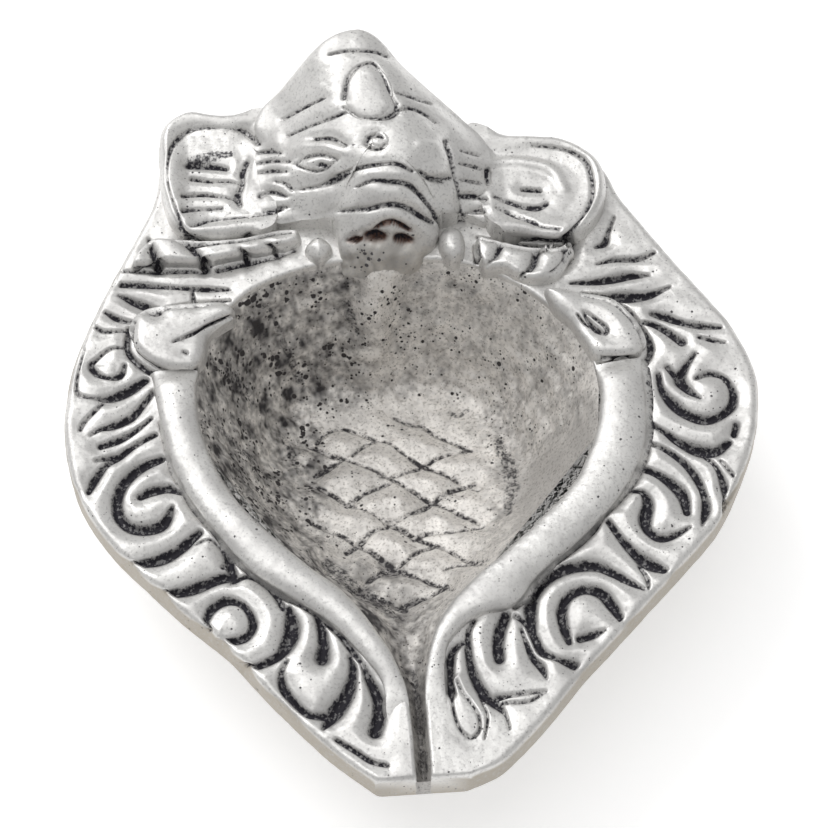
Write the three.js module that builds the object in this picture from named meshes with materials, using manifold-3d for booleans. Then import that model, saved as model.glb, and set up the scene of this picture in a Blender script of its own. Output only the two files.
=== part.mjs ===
// A small cast oil lamp: a leaf-shaped border carved with scrolls round a deep oil well, which runs out
// between two smooth lips into a wick spout. An elephant's head with a crown and ears rises at the back.
// Millimetres, +Z up, the spout towards -Y. The origin is the centre of the flat foot.

import * as THREE from "three";
import Module from "manifold-3d";
import { mergeVertices } from "three/addons/utils/BufferGeometryUtils.js";

const wasm = await Module();
wasm.setup();

// Driving dimensions
const LENGTH = 88.1; // spout tip to crown
const WIDTH = 76.8; // across the border
const HEAD_HEIGHT = 11.4; // crown above the border plate
const PLATE_TOP = 19; // top of the border plate above the table
const PLATE_THICK = 4.5; // border plate
const EDGE_ROUND = 0.8; // rounding of the border's edges
const CARVE_DEPTH = 1.1; // scroll grooves in the border
const CARVE_BOLDNESS = 1.35; // breadth of the scroll grooves over the slits seen between the scrolls
const WICK_GROOVE = 1.5; // width of the wick groove
const WICK_DEPTH = 2.4; // wick groove below the top of the plate
const WELL_DEPTH = 16.2; // oil well below the top of the plate, at its back
const SIDE_SLOPE = 1.8; // steepness of its side walls
const BACK_SLOPE = 2.4; // steepness of its back wall
const FLOOR_BACK = 10; // the floor is deepest this far behind the middle of the foot
const FLOOR_CURVE = 1.3; // how it curves on its way up to the wick groove
const WELL_FILLET = 1.7; // rounding between the walls and the floor
const SHELL_SHARE = 0.97; // breadth of the well's outside under the plate as a share of the mouth
const SHELL_FRONT = 3; // it ends this far behind the front of the mouth
const FOOT_WIDTH = 16; // flat foot
const FOOT_LENGTH = 18;
const FRONT_BELLY = 1.2; // how squarely the outside turns down to the foot, at the front
const BACK_BELLY = 2; // and at the back
const LIP_WIDTH = 4; // smooth lip beside the well
const LIP_HEIGHT = 1.3; // lip above the plate
const VOLUTE_HEIGHT = 1.9; // curled ends of the lip
const EAR_RIM = 2.8; // rim of the ears above the plate
const EAR_HOLLOW = 1.5; // depth of the hollow inside the rim
const COLLAR_HEIGHT = 1.7; // leaves under the ears
const BEAD_RADIUS = 1.6; // beads beside the trunk
const TEMPLE_HEIGHT = 3.4; // side of the head above the plate
const HEAD_ROUND = 2.4; // how squarely the head turns down to its temples
const WRINKLE_DEPTH = 0.7; // grooves across the trunk
const TRUNK_RIDGE = 2.6; // radius of the trunk's end at the top of the well's back wall
const RIDGE_TAPER = 0.4; // share of that radius lost on the way down
const RIDGE_REACH = 0.97; // share of the well's depth that it comes down
const RIDGE_FLATNESS = 0.8; // how far it stands out as a share of its radius
const JEWEL_RISE = 1; // crown's jewel above the crown
const MARK_RISE = 0.7; // forehead mark above the forehead
const MARK_GAP = 1.45; // forehead mark to the jewel above it
const CLEAR = 0.3; // gap between pieces that meet on a curved face

// The outlines are drawn for a lamp of this length and width, and plan() fits them to the real ones.
const DRAWN_LENGTH = 88.1;
const DRAWN_WIDTH = 76.8;
function plan(points) {
  return points.map(([x, y]) => [(x * WIDTH) / DRAWN_WIDTH, (y * LENGTH) / DRAWN_LENGTH]);
}
// The same for grooves, each a half-width and its points
const strokes = (list) => list.map(([halfWidth, ...points]) => [halfWidth, ...plan(points)]);

const [[SPOUT_X, SPOUT_TIP]] = plan([[-0.4, -44.7]]); // wick groove's front end
const FOOT_THICK = PLATE_TOP - WELL_DEPTH; // metal under the deepest part of the well

// Mouth of the well, from the spout's left side round the back to its right side
const MOUTH = plan([
  [-1.2, -31.4], [-3.7, -28.6], [-7.5, -23.2], [-14.6, -15.8], [-20, -8], [-22.1, 0], [-21, 8.4],
  [-16, 15.2], [-9, 18.2], [0, 18.9], [8.5, 17.6], [15.5, 13.6], [20.4, 7], [22.3, 0], [20.4, -8],
  [14, -16], [6, -22.8], [2, -28.2], [0.4, -31.4],
]);
const [LEFT_LIP_END, RIGHT_LIP_END] = plan([[-21.7, 4.5], [22.4, 1.2]]);

// Outline of the border, from the spout's right corner round the back to its left corner
const BORDER = plan([
  [6.1, -44.7], [10, -41.7], [13.4, -38.3], [25.1, -26.1], [33.6, -17.4], [39, -6.7], [40, 0.5],
  [37.8, 7.8], [32.4, 16.7], [27.4, 25.4], [25.8, 29.7], [21.7, 33], [15, 33.9], [10.8, 35.2],
  [4.8, 39], [0.8, 42.4], [-1.4, 43.4], [-4.2, 42.8], [-9.8, 40.3], [-14, 38.8], [-18, 39.1], [-22.2, 39.8],
  [-25.3, 37.4], [-25.6, 32.5], [-26.3, 28.5], [-31.4, 17.8], [-35.9, 6.6], [-36.8, -1], [-34.6, -11.2],
  [-28.1, -20.1], [-16, -33.6], [-9.5, -41.2], [-5.4, -44.7],
]);

// Scroll grooves as half-width and points, the left side first
const SCROLLS = strokes([
  [0.45, [-26.9, 22.6], [-25.7, 19.3]],
  [0.5, [-22.4, 22], [-20.4, 18.9]],
  [0.45, [-29.6, 17.4], [-24, 16.7], [-18.4, 15.8]],
  [0.4, [-30.2, 15.8], [-26.3, 13.8]],
  [0.4, [-34.6, 2.8], [-31.5, 2.9], [-27.6, 4.9]],
  [0.4, [-34, -2], [-30.6, -0.4], [-27, 3.2]],
  [0.4, [-32.8, -3.3], [-30.8, -2.6], [-27.3, -0.4]],
  [0.4, [-34, -8.6], [-32.3, -5.8], [-27, -2.4]],
  [0.65, [-26.4, -5.4], [-30.4, -8], [-31, -12], [-28.2, -13.8], [-25.4, -12]],
  [0.5, [-28.4, -9.8], [-26.4, -9], [-24.4, -9.6]],
  [0.6, [-22.6, -14.8], [-25.4, -17], [-29.4, -18.1]],
  [0.6, [-19.4, -17], [-19.3, -20], [-22, -20.9], [-26.1, -21.8]],
  [0.6, [-13.1, -24.6], [-13.1, -27.6], [-15, -30.2], [-18, -31]],
  [0.45, [-21.9, -26.5], [-20.4, -23.1], [-17.4, -24.6], [-18, -27.4], [-19.8, -27.8]],
  [0.6, [-10.6, -25.2], [-9.8, -28], [-10, -30.2]],
  [0.6, [-7, -30.8], [-7.2, -33.8], [-10.2, -38.2]],
  [0.45, [-9.8, -36.9], [-13, -35.7], [-14.3, -32]],
  [0.5, [-5.7, -32], [-4.5, -35.8], [-4.9, -38.8]],
  [0.6, [3.8, -31.4], [3.2, -34.6], [4.4, -39.4]],
  [0.5, [5.9, -28], [6, -32.4], [7.8, -35.9], [12.4, -36.3]],
  [0.6, [9.5, -27], [8.5, -31.6]],
  [0.4, [10.8, -27], [12.8, -31], [16.1, -32.9]],
  [0.65, [12.3, -28.8], [12.6, -24.8], [16, -21.8], [20.6, -22], [24.2, -24.6]],
  [0.55, [16, -30.1], [15.7, -26.4], [18.3, -24.3], [20.6, -25.6], [21.6, -27.8]],
  [0.5, [21.8, -16.8], [24, -20.4], [27, -22.6]],
  [0.6, [24.6, -12.9], [26, -14.6], [25.6, -17.4], [28.2, -18.6]],
  [0.5, [26.4, -10.3], [29.6, -13], [30.2, -15.7]],
  [0.4, [27.2, -7.1], [31, -10.3], [32.3, -15.2]],
  [0.6, [27.7, -4.8], [31, -7.6], [35.6, -7.8]],
  [0.5, [29.1, 1.4], [30.4, -2.4], [33.8, -4.5], [37, -2.2], [34.8, 1.2]],
  [0.5, [33.3, 3.8], [31.4, 0.8], [33, -1.6]],
  [0.4, [28.4, 8.4], [32.1, 5.8]],
  [0.45, [29.5, 9.5], [32.5, 8.1], [36.5, 7.1]],
  [0.45, [24, 12.2], [27, 12], [31, 12.1]],
  [0.45, [21.8, 14], [25.5, 14.5], [29.3, 14.5]],
  [0.4, [24, 16.5], [30, 17.4]],
]);

// Outlines of the raised parts on the plate, seen from above
const LEFT_VOLUTE = plan([
  [-22.9, 5], [-26.6, 5.5], [-29.2, 8], [-29.2, 11.4], [-26, 13.4], [-21.8, 13.9], [-18.6, 13.8],
  [-18.9, 12.4], [-21.2, 9.6], [-21.9, 7.4],
]);
const RIGHT_VOLUTE = plan([
  [23.4, 1.6], [27.6, 2.6], [28.5, 5.4], [27.4, 8.8], [25.2, 11.6], [21.8, 12.4], [18.6, 12],
  [19.2, 10], [21, 7], [22.3, 4],
]);
const LEFT_EAR = plan([
  [-14.9, 38.4], [-18.4, 38.6], [-22.1, 39.2], [-24.6, 37], [-25, 32.4], [-24.8, 27.4], [-23.2, 22.6],
  [-20.3, 21.6], [-16, 21.7], [-12.6, 22.6], [-13.4, 26], [-14.6, 29], [-14.9, 34],
]);
const RIGHT_EAR = plan([
  [13.4, 33.6], [17.4, 33], [21.4, 32.2], [25, 29.1], [25.5, 25], [23.6, 20.8], [20.6, 18.6],
  [16, 19.4], [12.8, 20.8], [13.2, 24.4], [13.2, 28.4],
]);
const LEFT_COLLAR = plan([
  [-27.4, 19.4], [-26.3, 21.9], [-22.9, 21.6], [-20, 20.9], [-16, 21], [-12.4, 21.8], [-10.3, 21],
  [-12, 19.4], [-15.4, 18.4], [-20.4, 18.4],
]);
const RIGHT_COLLAR = plan([
  [20.4, 17.9], [22.6, 17], [20.9, 15.2], [17.4, 14.7], [13.6, 16.4], [9.9, 18.2], [10.6, 20.6],
  [12.6, 20.1], [16, 18.8],
]);
const HEAD = plan([
  [5.8, 19.2], [6.1, 21], [6.6, 22.6], [9.4, 22.8], [12.2, 22.4], [12.6, 28], [12.2, 31.8], [9.6, 34.4],
  [4.4, 38.2], [0.7, 41.8], [-1.4, 42.7], [-4, 41.9], [-9.6, 39.1], [-13.8, 36.8], [-14.2, 30],
  [-12.4, 23.4], [-9, 23.4], [-6, 22.6], [-5.3, 21], [-5, 19.2], [0, 19.2],
]);
const CROWN = plan([
  [-16, 32], [-4, 32], [-2.8, 30.2], [1.6, 30.2], [2.8, 32], [14, 32], [14, 48], [-16, 48],
]);
const TRUNK = plan([
  [6.5, 18], [6.5, 21.8], [4.4, 24.2], [0.4, 25.2], [-3.4, 24.2], [-5.8, 21.8], [-5.8, 18],
]);

// Side view of the head from the rim of the well to the crown: places along it, and the height there as
// a share of the crown's
const HEAD_PROFILE = [
  [18.6, 0.11], [19.3, 0.33], [20.7, 0.61], [23.2, 0.77], [25.2, 0.83], [28, 0.89], [31, 0.93], [36, 0.98],
  [40, 1], [43.4, 0.97],
].map(([y, share]) => [(y * LENGTH) / DRAWN_LENGTH, share * HEAD_HEIGHT]);
// Points down its right side, its left side and its middle, seen from above
const fromFront = (points) => points.map(([x, y]) => [y, x]);
const HEAD_RIGHT = fromFront(
  plan([[5, 18.6], [5.6, 24], [7.4, 28], [7.9, 32], [7.1, 37], [5.9, 40], [3.6, 43.4]]),
);
const HEAD_LEFT = fromFront(
  plan([[-4.6, 18.6], [-5.2, 24], [-8, 28], [-8.9, 32], [-9.8, 37], [-10.2, 40], [-9, 43.4]]),
);
const HEAD_LINE = fromFront(plan([[0.2, 18.6], [0.2, 28], [-0.5, 34], [-1.4, 43.4]]));
const [HEAD_CENTRE, TRUNK_END] = plan([[-0.6, 31], [-0.8, 18.9]]);

// Wrinkles of the trunk, and the grooves between the leaves under each ear
const WRINKLES = strokes([
  [0.4, [-4.4, 22.6], [0.6, 23.6], [3.6, 22.8], [6, 20.6]],
  [0.45, [-5, 20.6], [0, 21], [3.4, 20.5], [5.6, 19.4]],
]);
const LEFT_LEAVES = strokes([
  [0.45, [-22.6, 22.2], [-20.2, 18]],
  [0.35, [-17.8, 21.6], [-15, 18.4]],
  [0.35, [-14.3, 22.2], [-12.2, 19.2]],
]);
const RIGHT_LEAVES = strokes([
  [0.4, [17.6, 19.2], [15, 14.6]],
  [0.35, [13.5, 20.5], [11.9, 17]],
]);
const LEFT_EAR_RIBS = strokes([
  [0.4, [-21.9, 30], [-17.2, 29.4]],
  [0.4, [-22.2, 27.6], [-17.4, 27.2]],
  [0.4, [-22, 25.2], [-17, 25]],
]);
const [LEFT_SLIT, RIGHT_SLIT] = strokes([
  [0.6, [-24.6, 9.4], [-22.4, 10.6], [-18.4, 11.8]],
  [0.45, [21.4, 4.2], [24.4, 3.9], [27.6, 4.6]],
]);
const [JEWEL_PLACE, LEFT_BEAD, RIGHT_BEAD] = plan([[-0.7, 34.3], [-7.7, 20.4], [7.9, 20.2]]);
const JEWEL = { x: JEWEL_PLACE[0], y: JEWEL_PLACE[1], across: 2.8, along: 3.6 };
const MARK_RADIUS = 1.25;
const MARK_Y = JEWEL.y - JEWEL.along - MARK_GAP - MARK_RADIUS;
const MARK = { x: 0, y: MARK_Y, across: MARK_RADIUS, along: MARK_RADIUS };

const METAL = { roughness: 0.34, metalness: 1 };
const silver = new THREE.MeshStandardMaterial({ color: 0xc9c6c1, ...METAL });
const dullSilver = new THREE.MeshStandardMaterial({ color: 0x8f8a84, ...METAL, roughness: 0.6 });
const group = new THREE.Group();

// Points along a smooth curve through the given ones.
function smooth(points, steps, closed = false) {
  const vectors = points.map(([x, y, z = 0]) => new THREE.Vector3(x, y, z));
  const curve = new THREE.CatmullRomCurve3(vectors, closed, "centripetal");
  const found = curve.getSpacedPoints(steps).map((p) => [p.x, p.y, p.z]);
  return closed ? found.slice(0, steps) : found;
}

// A closed body through rings of equally many points, capped at its first and last ring.
function loft(rings) {
  const count = rings[0].length;
  const positions = rings.flat(2);
  const index = [];
  rings.slice(1).forEach((_, ring) => {
    for (let i = 0; i < count; i++) {
      const a = ring * count + i;
      const b = ring * count + ((i + 1) % count);
      index.push(a, b, b + count, a, b + count, a + count);
    }
  });
  const cap = (ring, offset, last) => {
    const middle = positions.length / 3;
    positions.push(...[0, 1, 2].map((k) => ring.reduce((sum, p) => sum + p[k], 0) / count));
    for (let i = 0; i < count; i++) {
      const [a, b] = [offset + i, offset + ((i + 1) % count)];
      index.push(...(last ? [a, b, middle] : [b, a, middle]));
    }
  };
  cap(rings[0], 0, false);
  cap(rings.at(-1), (rings.length - 1) * count, true);
  const geometry = new THREE.BufferGeometry();
  geometry.setAttribute("position", new THREE.Float32BufferAttribute(positions, 3));
  geometry.setIndex(index);
  return geometry;
}

function toSolid(geometry) {
  const bare = geometry.clone();
  bare.deleteAttribute("normal");
  bare.deleteAttribute("uv");
  const merged = mergeVertices(bare, 1e-4);
  return new wasm.Manifold(
    new wasm.Mesh({
      numProp: 3,
      vertProperties: merged.attributes.position.array,
      triVerts: new Uint32Array(merged.index.array),
    }),
  );
}

function add(name, solid, material = silver) {
  const mesh = solid.getMesh();
  const geometry = new THREE.BufferGeometry();
  geometry.setAttribute("position", new THREE.BufferAttribute(mesh.vertProperties, 3));
  geometry.setIndex(new THREE.BufferAttribute(mesh.triVerts, 1));
  const part = new THREE.Mesh(geometry, material);
  part.name = name;
  group.add(part);
}

function middleOf(outline) {
  return [0, 1].map((k) => outline.reduce((sum, p) => sum + p[k], 0) / outline.length);
}

// Anticlockwise seen from above, as the loft needs.
function anticlockwise(outline) {
  const area = outline.reduce((sum, [x, y], i) => {
    const [nextX, nextY] = outline[(i + 1) % outline.length];
    return sum + x * nextY - nextX * y;
  }, 0);
  return area > 0 ? outline : [...outline].reverse();
}

// A raised part inside an outline, between under(x, y) and over(x, y, share), where share falls from 1 at
// the outline to 0 in the middle. A number stands for a level face.
function pad(outline, under, over, { points = 40, steps = 5, shares, centre = middleOf(outline) } = {}) {
  const rim = smooth(anticlockwise(outline), points, true);
  const ring = (share, height) =>
    rim.map(([x, y]) => {
      const px = centre[0] + (x - centre[0]) * share;
      const py = centre[1] + (y - centre[1]) * share;
      return [px, py, typeof height === "number" ? height : height(px, py, share)];
    });
  const rings = shares ?? [...Array(steps).keys()].map((k) => 1 - k / steps);
  const below = typeof under === "number" ? [ring(1, under)] : rings.map((s) => ring(s, under)).reverse();
  return toSolid(loft([...below, ...rings.map((s) => ring(s, over))]));
}

// Everything inside an outline moved out by a gap, from the table up.
function prism(outline, gap = 0) {
  const rim = smooth(anticlockwise(outline), 60, true);
  const shape = new THREE.Shape(grown(rim, gap).map(([x, y]) => new THREE.Vector2(x, y)));
  return toSolid(new THREE.ExtrudeGeometry(shape, { depth: PLATE_TOP * 3, bevelEnabled: false }));
}

// The outline moved out by a distance, or in where it is negative.
function grown(outline, distance) {
  const loop = anticlockwise(outline);
  return loop.map(([x, y], i) => {
    const before = loop.at(i - 1);
    const after = loop[(i + 1) % loop.length];
    const along = new THREE.Vector2(after[0] - before[0], after[1] - before[1]).normalize();
    return [x + along.y * distance, y - along.x * distance];
  });
}

// A V-shaped groove along a curve, cut into a surface whose height is level(x, y).
function groove([halfWidth, ...points], level, depth) {
  const spans = points.slice(1).map(([x, y], i) => Math.hypot(x - points[i][0], y - points[i][1]));
  const steps = Math.max(3, Math.round(spans.reduce((sum, span) => sum + span, 0) / 1.6));
  const line = smooth(points, steps);
  const above = 1;
  const rings = line.map(([x, y], i) => {
    const [before, after] = [line[Math.max(i - 1, 0)], line[Math.min(i + 1, steps)]];
    const along = new THREE.Vector2(after[0] - before[0], after[1] - before[1]).normalize();
    const wide = halfWidth * (i === 0 || i === steps ? 0.35 : 1);
    const deep = depth * (i === 0 || i === steps ? 0.3 : 1);
    const top = level(x, y);
    const spread = wide * (1 + above / deep);
    return [
      [x + along.y * spread, y - along.x * spread, top + above],
      [x - along.y * spread, y + along.x * spread, top + above],
      [x, y, top - deep],
    ];
  });
  return toSolid(loft(rings.reverse()));
}

function carve(solid, strokes, level, depth, boldness = 1) {
  const bold = strokes.map(([halfWidth, ...points]) => [halfWidth * boldness, ...points]);
  return bold.reduce((left, stroke) => left.subtract(groove(stroke, level, depth)), solid);
}

// Oil well and border
const mouth = smooth(anticlockwise(MOUTH), 56, true);
const mouthBack = Math.max(...mouth.map((p) => p[1]));
const mouthFront = Math.min(...mouth.map((p) => p[1]));
const { lerp, clamp, smoothstep } = THREE.MathUtils;

// Distance from a point to the edge of the mouth
function fromMouth(x, y) {
  const distances = mouth.map(([ax, ay], i) => {
    const [bx, by] = mouth[(i + 1) % mouth.length];
    const [dx, dy] = [bx - ax, by - ay];
    const share = clamp(((x - ax) * dx + (y - ay) * dy) / (dx * dx + dy * dy), 0, 1);
    return Math.hypot(x - ax - share * dx, y - ay - share * dy);
  });
  return Math.min(...distances);
}

// Height inside the well, whose floor rises from its back to the wick groove
function wellLevel(x, y) {
  const slope = lerp(SIDE_SLOPE, BACK_SLOPE, smoothstep(y / mouthBack, 0.1, 0.75));
  const run = clamp((FLOOR_BACK - y) / (FLOOR_BACK - mouthFront), 0, 1);
  const floor = WICK_DEPTH + (WELL_DEPTH - WICK_DEPTH) * (1 - run ** FLOOR_CURVE);
  const both = Math.exp((-slope * fromMouth(x, y)) / WELL_FILLET) + Math.exp(-floor / WELL_FILLET);
  return PLATE_TOP + Math.min(0, WELL_FILLET * Math.log(both));
}
const cavity = pad(MOUTH, wellLevel, 2 * PLATE_TOP, {
  points: 56,
  shares: [1, 0.95, 0.9, 0.86, 0.8, 0.74, 0.68, 0.6, 0.48, 0.32, 0.16],
  centre: [0, mouthBack / 5],
});

// Outside of the well at a share of the way down from the plate to the foot
const plateBottom = PLATE_TOP - PLATE_THICK;
function shellRing(share) {
  return mouth.map(([x, y]) => {
    const top = [x * SHELL_SHARE, Math.max(y, mouthFront + SHELL_FRONT) * SHELL_SHARE];
    const angle = Math.atan2(...top);
    const foot = [(FOOT_WIDTH / 2) * Math.sin(angle), (FOOT_LENGTH / 2) * Math.cos(angle)];
    const belly = lerp(FRONT_BELLY, BACK_BELLY, (1 + Math.cos(angle)) / 2);
    const turn = (1 - share ** belly) ** (1 / belly);
    return [lerp(foot[0], top[0], turn), lerp(foot[1], top[1], turn), plateBottom * (1 - share)];
  });
}
const shell = toSolid(loft([1, 0.97, 0.9, 0.8, 0.66, 0.5, 0.32, 0.16, 0].map(shellRing)));

// Everything between two levels.
function layer(low, high) {
  const box = new THREE.BoxGeometry(2 * WIDTH, 2 * LENGTH, high - low);
  box.translate(0, 0, (low + high) / 2);
  return toSolid(box);
}

// The trunk's end as a ridge down the back wall of the well, buried in the wall.
function trunkRidge() {
  const wellBack = (depth) => mouthBack - (WELL_DEPTH * depth) / BACK_SLOPE;
  const steps = 12;
  const sides = 12;
  const rings = [...Array(steps + 1).keys()].map((i) => {
    const depth = (RIDGE_REACH * i) / steps;
    const radius = TRUNK_RIDGE * (1 - (RIDGE_TAPER * i) / steps);
    return [...Array(sides).keys()].map((k) => {
      const angle = (-2 * Math.PI * k) / sides;
      const y = wellBack(depth) + RIDGE_FLATNESS * radius * Math.sin(angle);
      return [TRUNK_END[0] + radius * Math.cos(angle), y, PLATE_TOP - WELL_DEPTH * depth];
    });
  });
  return toSolid(loft(rings));
}
const ridge = trunkRidge();
const well = shell.subtract(cavity).add(ridge.intersect(layer(FOOT_THICK, plateBottom)));
add("oil_well", well, dullSilver);

const plateShape = new THREE.Shape(smooth(BORDER, 130).map(([x, y]) => new THREE.Vector2(x, y)));
const plate = new THREE.ExtrudeGeometry(plateShape, {
  depth: PLATE_THICK - 2 * EDGE_ROUND,
  bevelThickness: EDGE_ROUND,
  bevelSize: EDGE_ROUND,
  bevelOffset: -EDGE_ROUND,
  bevelSegments: 2,
});
plate.translate(0, 0, plateBottom + EDGE_ROUND);
const wickLength = 1.5 * (mouthFront - SPOUT_TIP);
const wick = new THREE.BoxGeometry(WICK_GROOVE, wickLength, 2 * WICK_DEPTH);
wick.translate(SPOUT_X, (mouthFront + SPOUT_TIP) / 2, PLATE_TOP);
const level = () => PLATE_TOP;
const open = toSolid(plate).subtract(cavity).subtract(toSolid(wick));
const withRidge = open.add(ridge.intersect(layer(plateBottom, PLATE_TOP)));
add("border_plate", carve(withRidge, SCROLLS, level, CARVE_DEPTH, CARVE_BOLDNESS));

// Lips, each a half-round bar beside the mouth from its volute to the spout's tip, all grown by a gap
function lip(points, side, gap = 0) {
  const path = smooth(points, 26);
  const high = LIP_HEIGHT + gap;
  const arc = [...Array(7).keys()].map((k) => (Math.PI * k) / 6);
  const rings = path.map(([x, y], i) => {
    const [before, after] = [path[Math.max(i - 1, 0)], path[Math.min(i + 1, path.length - 1)]];
    const along = new THREE.Vector2(after[0] - before[0], after[1] - before[1]).normalize();
    return arc.map((angle) => {
      const out = LIP_WIDTH / 2 - (LIP_WIDTH / 2 + gap) * Math.cos(angle);
      return [x + side * along.y * out, y - side * along.x * out, PLATE_TOP + high * Math.sin(angle)];
    });
  });
  return toSolid(loft(side > 0 ? rings : rings.map((ring) => [...ring].reverse())));
}
function lipEdge(end, mouthPoints, side) {
  const edge = SPOUT_X + (side * WICK_GROOVE) / 2;
  const [neck, straight] = [0.15, 0.5].map((share) => lerp(mouthFront, SPOUT_TIP, share));
  return [end, ...mouthPoints, [edge + 0.6 * side, neck], [edge, straight], [edge, SPOUT_TIP + EDGE_ROUND]];
}
const LEFT_EDGE = lipEdge(LEFT_LIP_END, MOUTH.slice(1, 6).reverse(), -1);
const RIGHT_EDGE = lipEdge(RIGHT_LIP_END, MOUTH.slice(13, 18), 1);
add("left_lip", lip(LEFT_EDGE, 1).subtract(cavity));
add("right_lip", lip(RIGHT_EDGE, -1).subtract(cavity));

// Volutes, domed, with a slit
const domed = (height) => (x, y, share) => PLATE_TOP + height * (0.45 + 0.55 * Math.sqrt(1 - share ** 4));
function volute(outline, slit, lipSpace) {
  const body = pad(outline, PLATE_TOP, domed(VOLUTE_HEIGHT)).subtract(cavity).subtract(lipSpace);
  return carve(body, [slit], () => PLATE_TOP + VOLUTE_HEIGHT, VOLUTE_HEIGHT * 0.6);
}
add("left_volute", volute(LEFT_VOLUTE, LEFT_SLIT, lip(LEFT_EDGE, 1, CLEAR)));
add("right_volute", volute(RIGHT_VOLUTE, RIGHT_SLIT, lip(RIGHT_EDGE, -1, CLEAR)));

// Head, with a height that follows its side view and falls off to the temples
function valueAt(profile, place) {
  const found = profile.findIndex(([at]) => at >= place);
  const next = found < 1 ? (found < 0 ? profile.length - 1 : 1) : found;
  const [[from, low], [to, high]] = [profile[next - 1], profile[next]];
  return lerp(low, high, clamp((place - from) / (to - from), 0, 1));
}
function headLevel(x, y) {
  const middle = valueAt(HEAD_LINE, y);
  const side = valueAt(x > middle ? HEAD_RIGHT : HEAD_LEFT, y);
  const across = (x - middle) / (side - middle);
  const rise = valueAt(HEAD_PROFILE, y) - TEMPLE_HEIGHT;
  return PLATE_TOP + Math.max(1, TEMPLE_HEIGHT + rise * Math.exp(-(across ** HEAD_ROUND)));
}
const head = pad(HEAD, PLATE_TOP, headLevel, { points: 60, steps: 11, centre: HEAD_CENTRE });
const trunkSpace = prism(TRUNK, CLEAR);
const crownSpace = prism(CROWN, CLEAR);
add("elephant_head", head.subtract(trunkSpace).subtract(crownSpace));
add("crown", head.intersect(prism(CROWN)));
add("trunk", carve(head.intersect(prism(TRUNK)), WRINKLES, headLevel, WRINKLE_DEPTH));

// An oval stone or mark that lies on the head
function stone({ x, y, across, along }, rise) {
  const count = 8;
  const oval = [...Array(count).keys()].map((k) => {
    const angle = (2 * Math.PI * k) / count;
    return [x + across * Math.cos(angle), y + along * Math.sin(angle)];
  });
  const under = (px, py) => headLevel(px, py) + CLEAR;
  const over = (px, py, share) => under(px, py) + rise * (0.3 + 0.7 * Math.sqrt(1 - share ** 2));
  return pad(oval, under, over, { points: 20, steps: 3 });
}
add("crown_jewel", stone(JEWEL, JEWEL_RISE));
add("forehead_mark", stone(MARK, MARK_RISE));

// Ears, hollow inside a raised rim
function ear(outline) {
  const hollow = (share) => smoothstep(1 - share, 0.16, 0.42);
  const over = (x, y, share) => PLATE_TOP + EAR_RIM - EAR_HOLLOW * hollow(share) - 0.8 * share ** 16;
  return pad(outline, PLATE_TOP, over, { points: 48, steps: 8 });
}
const earFloor = () => PLATE_TOP + EAR_RIM - EAR_HOLLOW;
const headSpace = prism(HEAD, CLEAR);
add("left_ear", carve(ear(LEFT_EAR).subtract(headSpace), LEFT_EAR_RIBS, earFloor, EAR_HOLLOW / 2));
add("right_ear", ear(RIGHT_EAR).subtract(headSpace));

// Leaves under the ears
function collar(outline, leaves, earOutline, beadPlace) {
  const body = pad(outline, PLATE_TOP, domed(COLLAR_HEIGHT)).subtract(cavity);
  const clear = body.subtract(headSpace).subtract(prism(earOutline, CLEAR)).subtract(ball(beadPlace, CLEAR));
  return carve(clear, leaves, () => PLATE_TOP + COLLAR_HEIGHT, COLLAR_HEIGHT / 2);
}

// Beads beside the trunk, cut flat where they sit on the plate
function ball([x, y], gap = 0) {
  const sphere = new THREE.SphereGeometry(BEAD_RADIUS + gap, 16, 9);
  sphere.translate(x, y, PLATE_TOP + BEAD_RADIUS / 4);
  return toSolid(sphere);
}
function bead(place) {
  const cap = ball(place).intersect(layer(PLATE_TOP, 2 * PLATE_TOP));
  return cap.subtract(cavity).subtract(headSpace);
}
add("left_collar", collar(LEFT_COLLAR, LEFT_LEAVES, LEFT_EAR, LEFT_BEAD));
add("right_collar", collar(RIGHT_COLLAR, RIGHT_LEAVES, RIGHT_EAR, RIGHT_BEAD));
add("left_bead", bead(LEFT_BEAD));
add("right_bead", bead(RIGHT_BEAD));

export default group;
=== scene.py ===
"""A small cast oil lamp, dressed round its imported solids.

A leaf-shaped border carved with scrolls runs round a deep oil well, between two smooth lips, to a wick
spout. An elephant's head with a crown, ears and trunk rises at the back. Plan places and heights are in
millimetres, with heights above the top of the border, and each finished mesh is put in metres.
"""

import logging
import math
from collections.abc import Callable
from dataclasses import dataclass
from enum import Enum

import bmesh
import bpy
import numpy as np
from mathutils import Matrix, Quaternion, Vector, noise


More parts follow.
